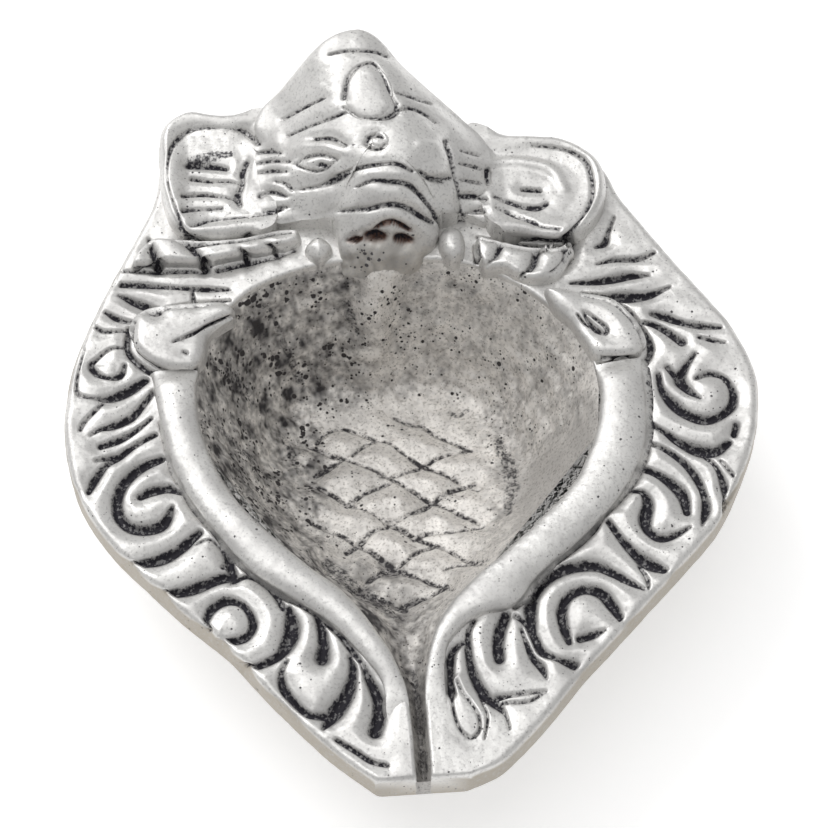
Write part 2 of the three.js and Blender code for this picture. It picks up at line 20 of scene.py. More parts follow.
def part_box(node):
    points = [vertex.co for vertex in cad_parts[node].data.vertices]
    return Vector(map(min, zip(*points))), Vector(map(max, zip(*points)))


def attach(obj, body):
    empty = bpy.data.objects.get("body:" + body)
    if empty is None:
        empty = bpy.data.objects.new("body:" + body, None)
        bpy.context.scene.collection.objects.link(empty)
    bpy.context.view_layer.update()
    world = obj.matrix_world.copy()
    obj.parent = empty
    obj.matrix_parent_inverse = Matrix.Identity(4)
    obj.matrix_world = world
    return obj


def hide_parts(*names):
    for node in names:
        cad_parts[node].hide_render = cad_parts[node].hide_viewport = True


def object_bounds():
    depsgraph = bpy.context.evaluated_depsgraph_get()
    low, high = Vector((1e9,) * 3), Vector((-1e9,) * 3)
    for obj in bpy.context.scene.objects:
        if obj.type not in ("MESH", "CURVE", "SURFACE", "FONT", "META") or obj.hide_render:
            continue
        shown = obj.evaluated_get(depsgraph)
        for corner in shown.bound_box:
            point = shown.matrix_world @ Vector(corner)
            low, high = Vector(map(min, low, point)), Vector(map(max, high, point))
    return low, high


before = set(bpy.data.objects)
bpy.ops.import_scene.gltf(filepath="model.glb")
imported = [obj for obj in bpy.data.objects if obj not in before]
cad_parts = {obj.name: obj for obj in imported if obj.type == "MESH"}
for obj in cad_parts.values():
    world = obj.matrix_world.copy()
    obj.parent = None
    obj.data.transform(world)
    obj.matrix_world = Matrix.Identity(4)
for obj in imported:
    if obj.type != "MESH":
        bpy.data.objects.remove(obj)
CAD_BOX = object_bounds()

LOG = logging.getLogger("oil_lamp")
MM = 0.001
PLATE_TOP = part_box("border_plate")[1].z / MM
PLATE_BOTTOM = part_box("border_plate")[0].z / MM - PLATE_TOP
SPOUT_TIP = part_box("border_plate")[0].y / MM

Row = tuple[float, ...]
Line = tuple[Row, ...]
Color = tuple[float, float, float]
Array = np.ndarray
Ring = Callable[[Vector], Vector]
Material = bpy.types.Material
Tree = bpy.types.NodeTree
Socket = bpy.types.NodeSocket


class Slot(Enum):
    """Names of material slots."""

    SILVER = "silver_metal"
    DULL = "dull_metal"


# Curves and distances


def curve(points: Line | Array, step: float = 0.4, closed: bool = False) -> Array:
    """Runs a smooth curve through points.

    Args:
        points: Rows that start with a place in plan. Further columns, such as a width, run along.
        step: Distance between the places given back.
        closed: Whether the last point joins the first.

    Returns:
        Evenly spaced rows along a centripetal curve.
    """
    knots = np.asarray(points, float)
    if closed:
        knots = np.vstack([knots[-1], knots, knots[:2]])
    else:
        knots = np.vstack([2 * knots[0] - knots[1], knots, 2 * knots[-1] - knots[-2]])
    gaps = np.linalg.norm(np.diff(knots[:, :2], axis=0), axis=1) ** 0.5 + 1e-9
    share = np.linspace(0, 1, 17)[:-1, None]
    spans = []
    for i in range(1, len(knots) - 2):
        chord = (knots[i + 1] - knots[i]) / gaps[i]
        before = (knots[i] - knots[i - 1]) / gaps[i - 1]
        before -= (knots[i + 1] - knots[i - 1]) / (gaps[i - 1] + gaps[i])
        after = (knots[i + 2] - knots[i + 1]) / gaps[i + 1]
        after -= (knots[i + 2] - knots[i]) / (gaps[i] + gaps[i + 1])
        leave, arrive = gaps[i] * (before + chord), gaps[i] * (after + chord)
        spans.append(
            (2 * share**3 - 3 * share**2 + 1) * knots[i]
            + (share**3 - 2 * share**2 + share) * leave
            + (3 * share**2 - 2 * share**3) * knots[i + 1]
            + (share**3 - share**2) * arrive
        )
    line = np.vstack([*spans, knots[-2]])
    along = np.concatenate([[0], np.cumsum(np.linalg.norm(np.diff(line[:, :2], axis=0), axis=1))])
    count = max(2, round(along[-1] / step))
    wanted = np.linspace(0, along[-1], count + 1)
    spaced = np.stack([np.interp(wanted, along, column) for column in line.T], axis=1)
    return spaced[:-1] if closed else spaced


def at_shares(line: Array, shares: Array, closed: bool = False) -> Array:
    """Finds the places at shares of a line's length.

    Args:
        line: Rows along the line.
        shares: Shares from 0 to 1.
        closed: Whether the line's last row joins its first.

    Returns:
        A row for each share.
    """
    rows = np.vstack([line, line[:1]]) if closed else line
    along = np.concatenate([[0], np.cumsum(np.linalg.norm(np.diff(rows[:, :2], axis=0), axis=1))])
    return np.stack([np.interp(shares * along[-1], along, column) for column in rows.T], axis=-1)


def nearest(places: Array, line: Array) -> tuple[Array, Array]:
    """Measures how far places are from a line.

    Args:
        places: Plan places.
        line: Rows along the line, each a plan place and further columns.

    Returns:
        The distances, and the line's rows at the nearest points.
    """
    best = np.full(len(places), np.inf)
    rows = np.zeros((len(places), line.shape[1]))
    for start, end in zip(line[:-1], line[1:]):
        span = end[:2] - start[:2]
        share = np.clip((places - start[:2]) @ span / max(span @ span, 1e-12), 0, 1)[:, None]
        row = start + share * (end - start)
        distance = np.linalg.norm(places - row[:, :2], axis=1)
        closer = distance < best
        best[closer] = distance[closer]
        rows[closer] = row[closer]
    return best, rows


def inside(places: Array, outline: Array) -> Array:
    """Tells which plan places lie inside a closed outline.

    Args:
        places: Plan places.
        outline: Rows of x and y.

    Returns:
        True for each place that is inside.
    """
    x, y = places.T
    result = np.zeros(len(places), bool)
    for (ax, ay), (bx, by) in zip(outline[:, :2], np.roll(outline, -1, axis=0)[:, :2]):
        crosses = (ay > y) != (by > y)
        result ^= crosses & (x < (bx - ax) * (y - ay) / (by - ay + 1e-12) + ax)
    return result


def rim_distance(places: Array, outline: Array) -> Array:
    """Measures the distance to a closed outline.

    Args:
        places: Plan places.
        outline: Rows of x and y.

    Returns:
        Distances, positive inside the outline.
    """
    distance, _ = nearest(places, np.vstack([outline, outline[:1]]))
    return np.where(inside(places, outline), distance, -distance)


def anticlockwise(points: Line, step: float = 0.25) -> Array:
    """Gives a closed smooth outline that starts at its lower left and turns anticlockwise.

    Args:
        points: Rows of x and y.
        step: Distance between the places given back.

    Returns:
        The outline.
    """
    line = curve(points, step, closed=True)
    x, y = line.T
    if (x * np.roll(y, -1) - np.roll(x, -1) * y).sum() < 0:
        line = line[::-1]
    return np.roll(line, -np.argmin(line[:, 0] + line[:, 1]), axis=0)


def ease(values: Array, low: float, high: float) -> Array:
    """Rises smoothly from 0 to 1.

    Args:
        values: What it depends on.
        low: Value at which it leaves 0.
        high: Value at which it reaches 1.

    Returns:
        The shares.
    """
    share = np.clip((values - low) / (high - low), 0, 1)
    return share * share * (3 - 2 * share)


def round_edge(distance: Array, radius: float) -> Array:
    """Gives the drop of a rounded edge.

    Args:
        distance: Distance inside the edge.
        radius: Radius of the rounding.

    Returns:
        The drop at each distance.
    """
    left = np.clip(radius - distance, 0, radius)
    return radius - np.sqrt(np.maximum(radius**2 - left**2, 0))


@dataclass(frozen=True)
class Viewpoint:
    """Where the lamp is looked at from. Carving is drawn as seen from there, on the border's top.

    Attributes:
        azimuth: Turn of the view in degrees.
        elevation: Its rise in degrees.
        distance: Distance of the eye in millimetres.
        slide: How far the eye is moved right and up.
        lens: Focal length of the camera.
    """

    azimuth: float = -4.0
    elevation: float = 60.0
    distance: float = 300.0
    slide: tuple[float, float] = (1.764, -1.544)
    lens: float = 118.3

    def axes(self) -> tuple[Vector, Vector, Vector]:
        """Gives the view's directions.

        Returns:
            The picture's right and up, and the way back to the eye.
        """
        turn, rise = math.radians(self.azimuth), math.radians(self.elevation)
        right = Vector((math.cos(turn), math.sin(turn), 0))
        up = Vector((-math.sin(turn) * math.sin(rise), math.cos(turn) * math.sin(rise), math.cos(rise)))
        return right, up, right.cross(up)

    def eye(self) -> Vector:
        """Gives the eye's place, with its height above the border's top."""
        right, up, back = self.axes()
        return right * self.slide[0] + up * self.slide[1] + back * self.distance

    def seen(self, points: Array) -> Array:
        """Finds where points appear on the level of the border's top.

        Args:
            points: Rows of x, y and height.

        Returns:
            Rows of x and y.
        """
        eye = np.array(self.eye())
        return eye[:2] + (points[:, :2] - eye[:2]) * eye[2] / (eye[2] - points[:, 2:])

    def facing(self, points: Array, normals: Array) -> Array:
        """Tells how far a surface faces the eye.

        Args:
            points: Rows of x, y and height.
            normals: The surface's directions there.

        Returns:
            1 where it faces the eye, falling to 0 where it turns away.
        """
        ways = np.array(self.eye()) - points
        ways /= np.linalg.norm(ways, axis=1)[:, None]
        return ease((ways * normals).sum(axis=1), 0.02, 0.3)


VIEW = Viewpoint()


# Carving


@dataclass(frozen=True)
class Bump:
    """A soft swelling, or a hollow where its height is negative.

    Attributes:
        x: Its middle along X.
        y: Its middle along Y.
        across: Its half-breadth.
        along: Its half-length.
        height: How far it rises.
        turn: Its turn in degrees.
    """

    x: float
    y: float
    across: float
    along: float
    height: float
    turn: float = 0.0

    def rise(self, places: Array) -> Array:
        """Gives the height that it adds.

        Args:
            places: Plan places.

        Returns:
            Heights.
        """
        angle = math.radians(self.turn)
        dx, dy = places[:, 0] - self.x, places[:, 1] - self.y
        right = (dx * math.cos(angle) + dy * math.sin(angle)) / self.across
        up = (dy * math.cos(angle) - dx * math.sin(angle)) / self.along
        return self.height * np.exp(-((right**2 + up**2) ** 1.4))


@dataclass
class Relief:
    """What carving does to a surface.

    Attributes:
        depth: How far the surface sinks.
        oxide_and_shade: Where it is black, in the cuts and where shade is painted.
        brown_shade: Where painted shade lies round the slots.
    """

    depth: Array
    oxide_and_shade: Array
    brown_shade: Array


@dataclass(frozen=True)
class Carving:
    """Cuts of the graver as lines of x, y and half-width, with raised lines that give a height as well.

    Attributes:
        grooves: Deep black cuts.
        creases: Shallow cuts that are less black.
        slots: Deep cuts, with painted shade round their edges.
        stains_and_shades: Black that lies on the surface, some of it streaks and some of it painted shade.
        ridges: Raised lines of x, y, half-width and height.
        bumps: Swellings and hollows.
        least: Depth of the thinnest groove.
        deepening: Depth that each millimetre of half-width adds.
        deepest: Depth of the widest groove.
        shoulder: How far the metal rounds down to a groove.
        spread: Breadth of that rounding.
    """

    grooves: tuple[Line, ...] = ()
    creases: tuple[Line, ...] = ()
    slots: tuple[Line, ...] = ()
    stains_and_shades: tuple[Line, ...] = ()
    ridges: tuple[Line, ...] = ()
    bumps: tuple[Bump, ...] = ()
    least: float = 0.3
    deepening: float = 1.1
    deepest: float = 1.2
    shoulder: float = 0.5
    spread: float = 0.95

    def apply(self, places: Array) -> Relief:
        """Works out the carving at places.

        Args:
            places: Where the surface is seen on the level of the border's top.

        Returns:
            Its depth, where it is black and where shade is painted.
        """
        core, slope, raised, oxide_and_shade, brown_shade = (np.zeros(len(places)) for _ in range(5))
        kinds = (
            (self.grooves, 1.0, 1.0),
            (self.creases, 0.65, 0.85),
            (self.slots, 1.4, 1.0),
            (self.stains_and_shades, 0.0, 0.6),
        )
        for lines, boldness, blackness in kinds:
            for line in lines:
                near, distance, rows = self._near(places, line)
                half = np.maximum(rows[:, 2], 0.05)
                share = distance / (0.82 * half + 0.06)
                deep = boldness * np.minimum(self.least + self.deepening * half, self.deepest)
                core[near] = np.maximum(core[near], deep * np.exp(-0.9 * np.abs(share) ** 3))
                strength = boldness * np.minimum(half / 0.4, 1)
                away = np.maximum(distance - half, 0) / self.spread
                slope[near] += (strength * np.exp(-(away**2))) ** 3
                black = blackness * np.minimum(0.55 + 1.1 * half, 1) * np.clip((1.35 - share) / 0.6, 0, 1)
                oxide_and_shade[near] = np.maximum(oxide_and_shade[near], black)
                # Slots get painted shade round their edges.
                if lines is self.slots:
                    brown_shade[near] = np.maximum(brown_shade[near], np.clip(2.2 - share, 0, 1))
        for line in self.ridges:
            near, distance, rows = self._near(places, line)
            height = rows[:, 3] * np.exp(-1.1 * (distance / rows[:, 2]) ** 2.6)
            raised[near] = np.maximum(raised[near], height)
        depth = core + self.shoulder * np.cbrt(slope) - raised
        for bump in self.bumps:
            depth -= bump.rise(places)
        return Relief(depth, oxide_and_shade, brown_shade)

    def _near(self, places: Array, line: Line) -> tuple[Array, Array, Array]:
        """Finds the places near a line.

        Args:
            places: Plan places.
            line: The line.

        Returns:
            Numbers of the near places, their distances and the line's rows there.
        """
        path = curve(line, 0.35)
        reach = 2.5 * self.spread + path[:, 2].max() * 2
        low, high = path[:, :2].min(axis=0) - reach, path[:, :2].max(axis=0) + reach
        near = np.flatnonzero(((places > low) & (places < high)).all(axis=1))
        return near, *nearest(places[near], path)


# Meshes

# Sizes of the casting's lumps
COARSE_LUMP = 2.4
FINE_LUMP = 0.8
# Depth below the border's top to which raised parts are bedded
BEDDING = 1.5
# Share of a raised part's height that its rounded edge takes
EDGE_SHARE = 0.8


@dataclass
class Skin:
    """A surface before it is carved.

    Attributes:
        points: Its points as x, y and height.
        give: The share of carving that it takes.
        dull: How far it is filed or left dull.
        rough: Height of its lumps.
        tone: Its brightness, where 1 is clean metal; in the well it also holds painted highlight and
            painted shade.
        worn: How many dark specks it has.
    """

    points: Array
    give: Array | float = 1.0
    dull: Array | float = 0.0
    rough: Array | float = 0.05
    tone: Array | float = 1.0
    worn: Array | float = 0.35


def lumps(points: Array, size: float) -> Array:
    """Gives smooth noise from about -1 to 1.

    Args:
        points: Rows of x, y and height.
        size: Size of its lumps.

    Returns:
        The noise at each point.
    """
    return np.array([noise.noise(Vector(point)) for point in points / size])


def flat_grid(columns: int, rows: int) -> bpy.types.Mesh:
    """Makes a grid of vertices, row by row, to be shaped.

    Args:
        columns: Vertices across.
        rows: Vertices up.

    Returns:
        The mesh.
    """
    bm = bmesh.new()
    bmesh.ops.create_grid(bm, x_segments=columns - 1, y_segments=rows - 1, size=0.5)
    mesh = bpy.data.meshes.new("grid")
    bm.to_mesh(mesh)
    bm.free()
    return mesh


def mould(mesh: bpy.types.Mesh, surface: Skin, carving: Carving) -> None:
    """Gives a grid its points, sinks its carving along the surface's normals and keeps its marks, painted
    shade among them.

    Args:
        mesh: The grid.
        surface: Its surface before carving.
        carving: What is cut into it.
    """
    mesh.vertices.foreach_set("co", surface.points.astype(np.float32).ravel())
    mesh.update()
    normals = np.empty(3 * len(mesh.vertices), np.float32)
    mesh.vertex_normals.foreach_get("vector", normals)
    normals = normals.reshape(-1, 3).astype(float)
    relief = carving.apply(VIEW.seen(surface.points))
    share = surface.give * VIEW.facing(surface.points, normals)
    uneven = surface.rough * (lumps(surface.points, COARSE_LUMP) + 0.5 * lumps(surface.points, FINE_LUMP))
    carved = surface.points + normals * (uneven - relief.depth * share)[:, None]
    carved[:, 2] += PLATE_TOP
    carved = np.clip(carved * MM, CAD_BOX[0], CAD_BOX[1])
    mesh.vertices.foreach_set("co", carved.astype(np.float32).ravel())
    # low is the carving's depth, which the finish turns into painted shade.
    marks = {
        "oxide_and_shade": relief.oxide_and_shade * share,
        "brown_shade": relief.brown_shade * share,
        "low": relief.depth * share,
        "dull": surface.dull,
        "tone": surface.tone,
        "worn": surface.worn,
    }
    for name, values in marks.items():
        layer = mesh.attributes.new(name, "FLOAT", "POINT")
        layer.data.foreach_set("value", np.clip(values + 0 * share, 0, 1).astype(np.float32))
    mesh.update()


def close(name: str, mesh: bpy.types.Mesh, rings: tuple[Ring, ...] = ()) -> bpy.types.Object:
    """Closes a moulded grid into a solid.

    Args:
        name: The piece's name.
        mesh: The moulded grid, which is removed.
        rings: Where each ring of its underside puts a point of the edge, in millimetres.

    Returns:
        The piece.
    """
    bm = bmesh.new()
    bm.from_mesh(mesh)
    bpy.data.meshes.remove(mesh)
    bmesh.ops.remove_doubles(bm, verts=bm.verts, dist=1e-7)
    for edge in bm.edges:
        edge.smooth = not edge.is_boundary
    edge_places = {}
    for ring in rings:
        rim = [edge for edge in bm.edges if edge.is_boundary]
        for vert in {vert for edge in rim for vert in edge.verts}:
            edge_places.setdefault(vert, vert.co / MM)
        first = {tuple(vert.co): edge_places[vert] for edge in rim for vert in edge.verts}
        made = bmesh.ops.extrude_edge_only(bm, edges=rim)["geom"]
        for vert in (item for item in made if isinstance(item, bmesh.types.BMVert)):
            place = first[tuple(vert.co)]
            edge_places[vert] = place
            moved = ring(Vector((place.x, place.y, place.z - PLATE_TOP)))
            vert.co = Vector((moved.x, moved.y, moved.z + PLATE_TOP)) * MM
    rim = [edge for edge in bm.edges if edge.is_boundary]
    for edge in rim:
        edge.smooth = False
    bmesh.ops.holes_fill(bm, edges=rim, sides=0)
    bmesh.ops.recalc_face_normals(bm, faces=bm.faces)
    for face in bm.faces:
        face.smooth = True
    finished = bpy.data.meshes.new(name)
    bm.to_mesh(finished)
    bm.free()
    piece = bpy.data.objects.new(name, finished)
    bpy.context.scene.collection.objects.link(piece)
    return piece


def bedded(edge: Vector) -> Vector:
    """Puts a point of a raised part's edge inside the border."""
    return Vector((edge.x, edge.y, -BEDDING))


def patch(
    name: str,
    outline: Array,
    centre: Row,
    surface: Callable[[Array, Array], Skin],
    carving: Carving,
    cell: float = 0.15,
    rings: tuple[Ring, ...] = (bedded,),
) -> bpy.types.Object:
    """Makes a raised part inside an outline.

    Args:
        name: The piece's name.
        outline: Closed plan outline from its lower left, anticlockwise.
        centre: The place that its grid is drawn round.
        surface: Gives the skin from plan places and their share of the way to the outline.
        carving: What is cut into it.
        cell: Breadth of the grid's squares at the outline.
        rings: Rings that close its underside.

    Returns:
        The piece.
    """
    around = np.linalg.norm(outline - np.roll(outline, 1, axis=0), axis=1).sum()
    count = max(12, round(around / cell / 4))
    b, a = (grid.ravel() for grid in np.meshgrid(*[np.linspace(-1, 1, count + 1)] * 2, indexing="ij"))
    share = np.maximum(np.abs(a), np.abs(b))
    a, b = (np.divide(value, share, out=np.ones_like(value), where=share > 0) for value in (a, b))
    side = np.select([b <= -1 + 1e-9, a >= 1 - 1e-9, b >= 1 - 1e-9], [0, 1, 2], 3)
    run = np.choose(side, [a, b, -a, -b])
    rim = at_shares(outline, (side + (run + 1) / 2) / 4 % 1.0, closed=True)
    places = np.array(centre) + share[:, None] * (rim - np.array(centre))
    mesh = flat_grid(count + 1, count + 1)
    mould(mesh, surface(places, share), carving)
    return close(name, mesh, rings)


def bar(name: str, sections: Array, give: Array, dull: Array, carving: Carving) -> bpy.types.Object:
    """Makes a bar from closed sections along its length.

    Args:
        name: The piece's name.
        sections: Points as section row, place along the bar and x, y, height, the last row the first again.
        give: Share of carving that each row takes.
        dull: How dull each row is.
        carving: What is cut into it.

    Returns:
        The piece.
    """
    rows, columns, _ = sections.shape
    mesh = flat_grid(columns, rows)
    surface = Skin(sections.reshape(-1, 3), np.repeat(give, columns), np.repeat(dull, columns))
    mould(mesh, surface, carving)
    return close(name, mesh)


def with_height(places: Array, height: Array) -> Array:
    """Puts plan places at heights, as rows of x, y and height."""
    return np.column_stack([places, height])


def dress(piece: bpy.types.Object, finish: Material, slot: Slot, *nodes: str) -> None:
    """Gives a piece its material and its place in the lamp.

    Args:
        piece: The piece.
        finish: Its material.
        slot: Not used.
        nodes: The solids that it stands for.
    """
    piece.data.materials.append(finish)
    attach(piece, "root")
    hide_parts(*nodes)
    LOG.info("%s: %d faces", piece.name, len(piece.data.polygons))


# Drawing of the lamp, as seen on the level of the border's top

# The well's mouth, from the spout to the back
LEFT_MOUTH: Line = (
    (-1.1, -44.7), (-1.2, -38), (-1.6, -34), (-2.6, -31), (-3.7, -28.8), (-5.3, -26), (-7.5, -23),
    (-10.7, -20), (-14.8, -15.7), (-17.8, -12), (-20, -8), (-21.4, -4), (-22.1, 0), (-21.9, 5),
    (-20.4, 9.8), (-16.4, 15), (-9, 18.2), (-1, 18.9),
)
RIGHT_MOUTH: Line = (
    (0.4, -44.7), (0.5, -35), (0.9, -32), (1.7, -29), (3.2, -26.2), (6, -23), (10, -19.7), (14.2, -16),
    (18.1, -12), (20.4, -8), (21.8, -4), (22.3, 0), (21.9, 3.5), (20.4, 7.4), (15.6, 13.4), (8.5, 17.6),
    (-1, 18.9),
)
# Where the lips meet the border
LEFT_CREASE: Line = (
    (-3.5, -44.7), (-3.6, -39), (-3.7, -37), (-3.7, -35), (-4.2, -33), (-5.4, -31.2), (-7.8, -27.9),
    (-10, -25.6), (-13.8, -22.6), (-17.3, -19.6), (-20.6, -15), (-22.9, -11.4), (-24.8, -7.2), (-25.8, -3),
    (-26.5, 1), (-26.9, 5.4),
)
RIGHT_CREASE: Line = (
    (2.6, -44.7), (2.6, -38.5), (2.6, -36.3), (2.6, -34), (2.8, -31.7), (3.4, -29.8), (6.2, -27.2),
    (10.7, -25.8), (13.2, -22.8), (17.5, -19.3), (21.2, -15.8), (24.4, -11.8), (26.6, -7.2), (27.2, -2),
    (27.3, 3.4),
)
# The border's outline, each place with its share of the way along the mouth
LEFT_EDGE: Line = (
    (-5.4, -44.7, 0), (-9.4, -41.2, 0.10), (-12.7, -37.6, 0.18), (-16, -33.7, 0.26), (-20, -28.5, 0.34),
    (-24.2, -24.4, 0.40), (-28.1, -20.1, 0.46), (-31.7, -15.9, 0.505), (-34.6, -11.2, 0.545),
    (-36.2, -6.5, 0.575), (-36.8, -1, 0.605), (-36.5, 3, 0.635), (-35.9, 6.6, 0.665), (-34, 12, 0.71),
    (-31.4, 17.8, 0.75), (-28.9, 22.8, 0.79), (-26.3, 28.5, 0.82), (-25.6, 32.5, 0.84),
    (-25.3, 37.3, 0.86), (-22.2, 39.8, 0.88), (-18, 39.1, 0.90), (-14, 38.9, 0.925), (-9.8, 40.3, 0.95),
    (-4.2, 42.7, 0.98), (-1, 43.3, 1),
)
RIGHT_EDGE: Line = (
    (4.6, -44.7, 0), (7.6, -43.6, 0.035), (10.2, -41.5, 0.08), (13.4, -38.3, 0.17), (17.1, -34.1, 0.26),
    (21.1, -30.1, 0.325), (25.1, -26.1, 0.385), (29.2, -22, 0.44), (33.5, -17.4, 0.485),
    (36.6, -12.1, 0.525), (38.9, -6.7, 0.56), (39.8, -2, 0.59), (39.9, 0.5, 0.605), (39.5, 3, 0.62),
    (37.8, 7.8, 0.65), (36.2, 10.6, 0.675), (32.4, 16.7, 0.72), (28.9, 22.8, 0.76), (27.2, 25.9, 0.785),
    (26, 29.4, 0.81), (24.2, 31.6, 0.83), (21.6, 32.9, 0.85), (18, 33.5, 0.87), (15, 33.8, 0.89),
    (10.8, 35.2, 0.915), (4.8, 39, 0.95), (0.8, 42.4, 0.98), (-1, 43.3, 1),
)

# Cuts of the leaves under the ears, with half-widths like all the cuts below
LEFT_LEAVES: tuple[Line, ...] = (
    ((-27, 23.4, 0.15), (-26.6, 21.7, 0.35), (-26, 19.5, 0.5)),
    ((-22.5, 22.5, 0.35), (-21.4, 20.8, 0.35), (-20.7, 19, 0.45)),
    ((-16.6, 21.4, 0.15), (-15.8, 19.6, 0.35)),
    ((-13.4, 21.7, 0.25), (-12.3, 19.9, 0.2)),
    ((-30.1, 19.2, 0.12), (-25.2, 18.9, 0.25), (-20.7, 18.6, 0.2)),
    ((-19.2, 18.7, 0.3), (-16.1, 19.3, 0.25), (-13.3, 19.7, 0.15), (-10.4, 20.6, 0.12)),
)
RIGHT_LEAVES: tuple[Line, ...] = (
    ((13.3, 20.2, 0.3), (12.3, 18.3, 0.25), (11.4, 17, 0.15)),
    ((17.2, 19.3, 0.35), (16.5, 17, 0.35), (14.8, 15, 0.15)),
    ((20.8, 19.8, 0.5), (20.3, 17.3, 0.5), (18.6, 15.5, 0.2)),
    ((10.6, 21, 0.15), (13, 20.3, 0.2), (16.4, 19.4, 0.3), (19.8, 19.1, 0.3), (21.2, 19.7, 0.35)),
    ((10.2, 19.8, 0.2), (10.1, 17.5, 0.2)),
)
# Cuts of the scrolls on the left, from the back to the spout
LEFT_SCROLLS: tuple[Line, ...] = (
    ((-30.2, 17.5, 0.3), (-27.8, 17.3, 0.35), (-24, 16.6, 0.2), (-20.5, 16.2, 0.3), (-18.2, 15.9, 0.15)),
    ((-22.2, 15.9, 0.12), (-22.1, 14.3, 0.25)),
    ((-25.3, 14, 0.1), (-22.3, 14.3, 0.25), (-18, 14.4, 0.1)),
    ((-30.5, 16, 0.15), (-28.5, 15, 0.45), (-26.3, 13.7, 0.5)),
    ((-32.1, 13.9, 0.15), (-30.8, 13, 0.3), (-29, 12.3, 0.15)),
    ((-33.3, 12, 0.12), (-32.4, 11.4, 0.2), (-30, 11.3, 0.12)),
    (
        (-29.5, 11.5, 0.3), (-29.6, 8.5, 0.3), (-27.5, 6, 0.3), (-25, 4.8, 0.25), (-23, 5, 0.2),
        (-21.4, 5.4, 0.12),
    ),
    (
        (-29.9, 9.1, 0.12), (-31.5, 9, 0.15), (-33, 7.9, 0.2), (-33.8, 7, 0.3), (-33.2, 6, 0.3),
        (-32, 5.3, 0.2), (-30.6, 5.5, 0.35), (-30, 6.8, 0.2),
    ),
    (
        (-34.6, 9, 0.1), (-35.2, 6.5, 0.15), (-35.3, 3.5, 0.2), (-33.7, 2.8, 0.15), (-31.5, 2.8, 0.5),
        (-29.5, 3.7, 0.6), (-27.8, 4.8, 0.4),
    ),
    ((-32.3, 2.2, 0.1), (-33.5, 1, 0.18), (-34.6, -0.2, 0.2), (-35, -1.2, 0.15)),
    (
        (-26.9, 3.2, 0.25), (-28, 1.8, 0.35), (-29.5, 0.1, 0.45), (-31.5, -0.8, 0.4), (-32.9, -1.3, 0.2),
        (-33.9, -1.9, 0.15),
    ),
    ((-27.2, -0.3, 0.15), (-29, -1.6, 0.3), (-30.8, -2.6, 0.4), (-32.8, -3.3, 0.35)),
    (
        (-26.8, -2.3, 0.25), (-29, -3.4, 0.3), (-30.6, -4.5, 0.4), (-32.3, -5.8, 0.3), (-33.4, -7.2, 0.45),
        (-34.2, -8.9, 0.3),
    ),
    ((-31.3, -4.7, 0.35), (-33.4, -5.1, 0.15)),
    (
        (-26.3, -5.3, 0.4), (-28.5, -6.2, 0.6), (-30.2, -7.8, 0.6), (-31.1, -9.8, 0.6), (-31, -12, 0.6),
        (-29.8, -13.5, 0.6), (-27.8, -13.8, 0.7), (-26.2, -13.2, 0.7), (-25.2, -11.4, 0.2),
    ),
    ((-28.6, -9.8, 0.4), (-27.3, -9.2, 0.55), (-25.5, -9, 0.5), (-24.2, -9.6, 0.3)),
    (
        (-26.2, -1, 0.2), (-25.8, -3, 0.25), (-25.3, -5, 0.3), (-24.8, -7.2, 0.4), (-24, -9.2, 0.3),
        (-22.9, -11.4, 0.45), (-21.8, -13, 0.45), (-20.6, -15, 0.3), (-19.2, -17, 0.5),
        (-17.3, -19.6, 0.35), (-15.2, -21.4, 0.5), (-13.8, -22.6, 0.5), (-12, -24, 0.25),
        (-10, -25.6, 0.3), (-8, -27.8, 0.3), (-6.8, -29.8, 0.3), (-6.1, -31, 0.2),
    ),
    ((-22.4, -14.6, 0.4), (-24.2, -16.2, 0.6), (-26.5, -17.5, 0.7), (-29.6, -18.1, 0.3)),
    ((-22.8, -16, 0.12), (-21.2, -15.7, 0.12), (-20.1, -16.8, 0.15), (-19.6, -18.2, 0.2), (-20, -19, 0.2)),
    ((-19.4, -16.8, 0.35), (-19.3, -18.5, 0.5), (-19, -20, 0.5)),
    ((-19.2, -20, 0.6), (-21, -20.5, 0.6), (-23.5, -21.4, 0.65), (-26.2, -21.8, 0.4)),
    (
        (-19, -20.7, 0.3), (-17.3, -20.3, 0.25), (-15.6, -21.2, 0.35), (-14.4, -22.8, 0.35),
        (-13.8, -24.3, 0.3),
    ),
    (
        (-13.2, -24.4, 0.3), (-13, -26.5, 0.85), (-13.5, -28.3, 0.8), (-14.6, -29.8, 0.5),
        (-16.5, -30.7, 0.4), (-18.3, -31.1, 0.3),
    ),
    (
        (-21.8, -26.7, 0.25), (-22, -25.2, 0.35), (-21.2, -23.7, 0.5), (-19.8, -23, 0.5),
        (-18.4, -23.4, 0.35), (-17.4, -24.6, 0.35), (-17.1, -26.2, 0.45), (-18, -27.4, 0.5),
        (-19.8, -27.8, 0.4),
    ),
    (
        (-13.6, -22.8, 0.12), (-11.8, -24, 0.15), (-10.4, -25.3, 0.25), (-9.9, -27, 0.45),
        (-9.8, -28.8, 0.6), (-10, -30.3, 0.8),
    ),
    ((-7, -30.4, 0.25), (-6.9, -32.3, 0.45), (-7.6, -34.5, 0.75), (-8.9, -36.4, 0.9), (-10.3, -38.4, 0.2)),
    (
        (-9.6, -36.9, 0.5), (-11.5, -36.8, 0.35), (-13, -35.7, 0.55), (-14.1, -33.8, 0.5),
        (-14.4, -32, 0.3), (-13.7, -30.4, 0.15),
    ),
    ((-6, -31, 0.12), (-5.3, -33, 0.4), (-4.5, -35.3, 0.6), (-4.5, -37.3, 0.7), (-5, -39, 0.75)),
    ((-9, -39.8, 0.2), (-7, -41.3, 0.25), (-5.6, -42.4, 0.25), (-4, -43, 0.2)),
)
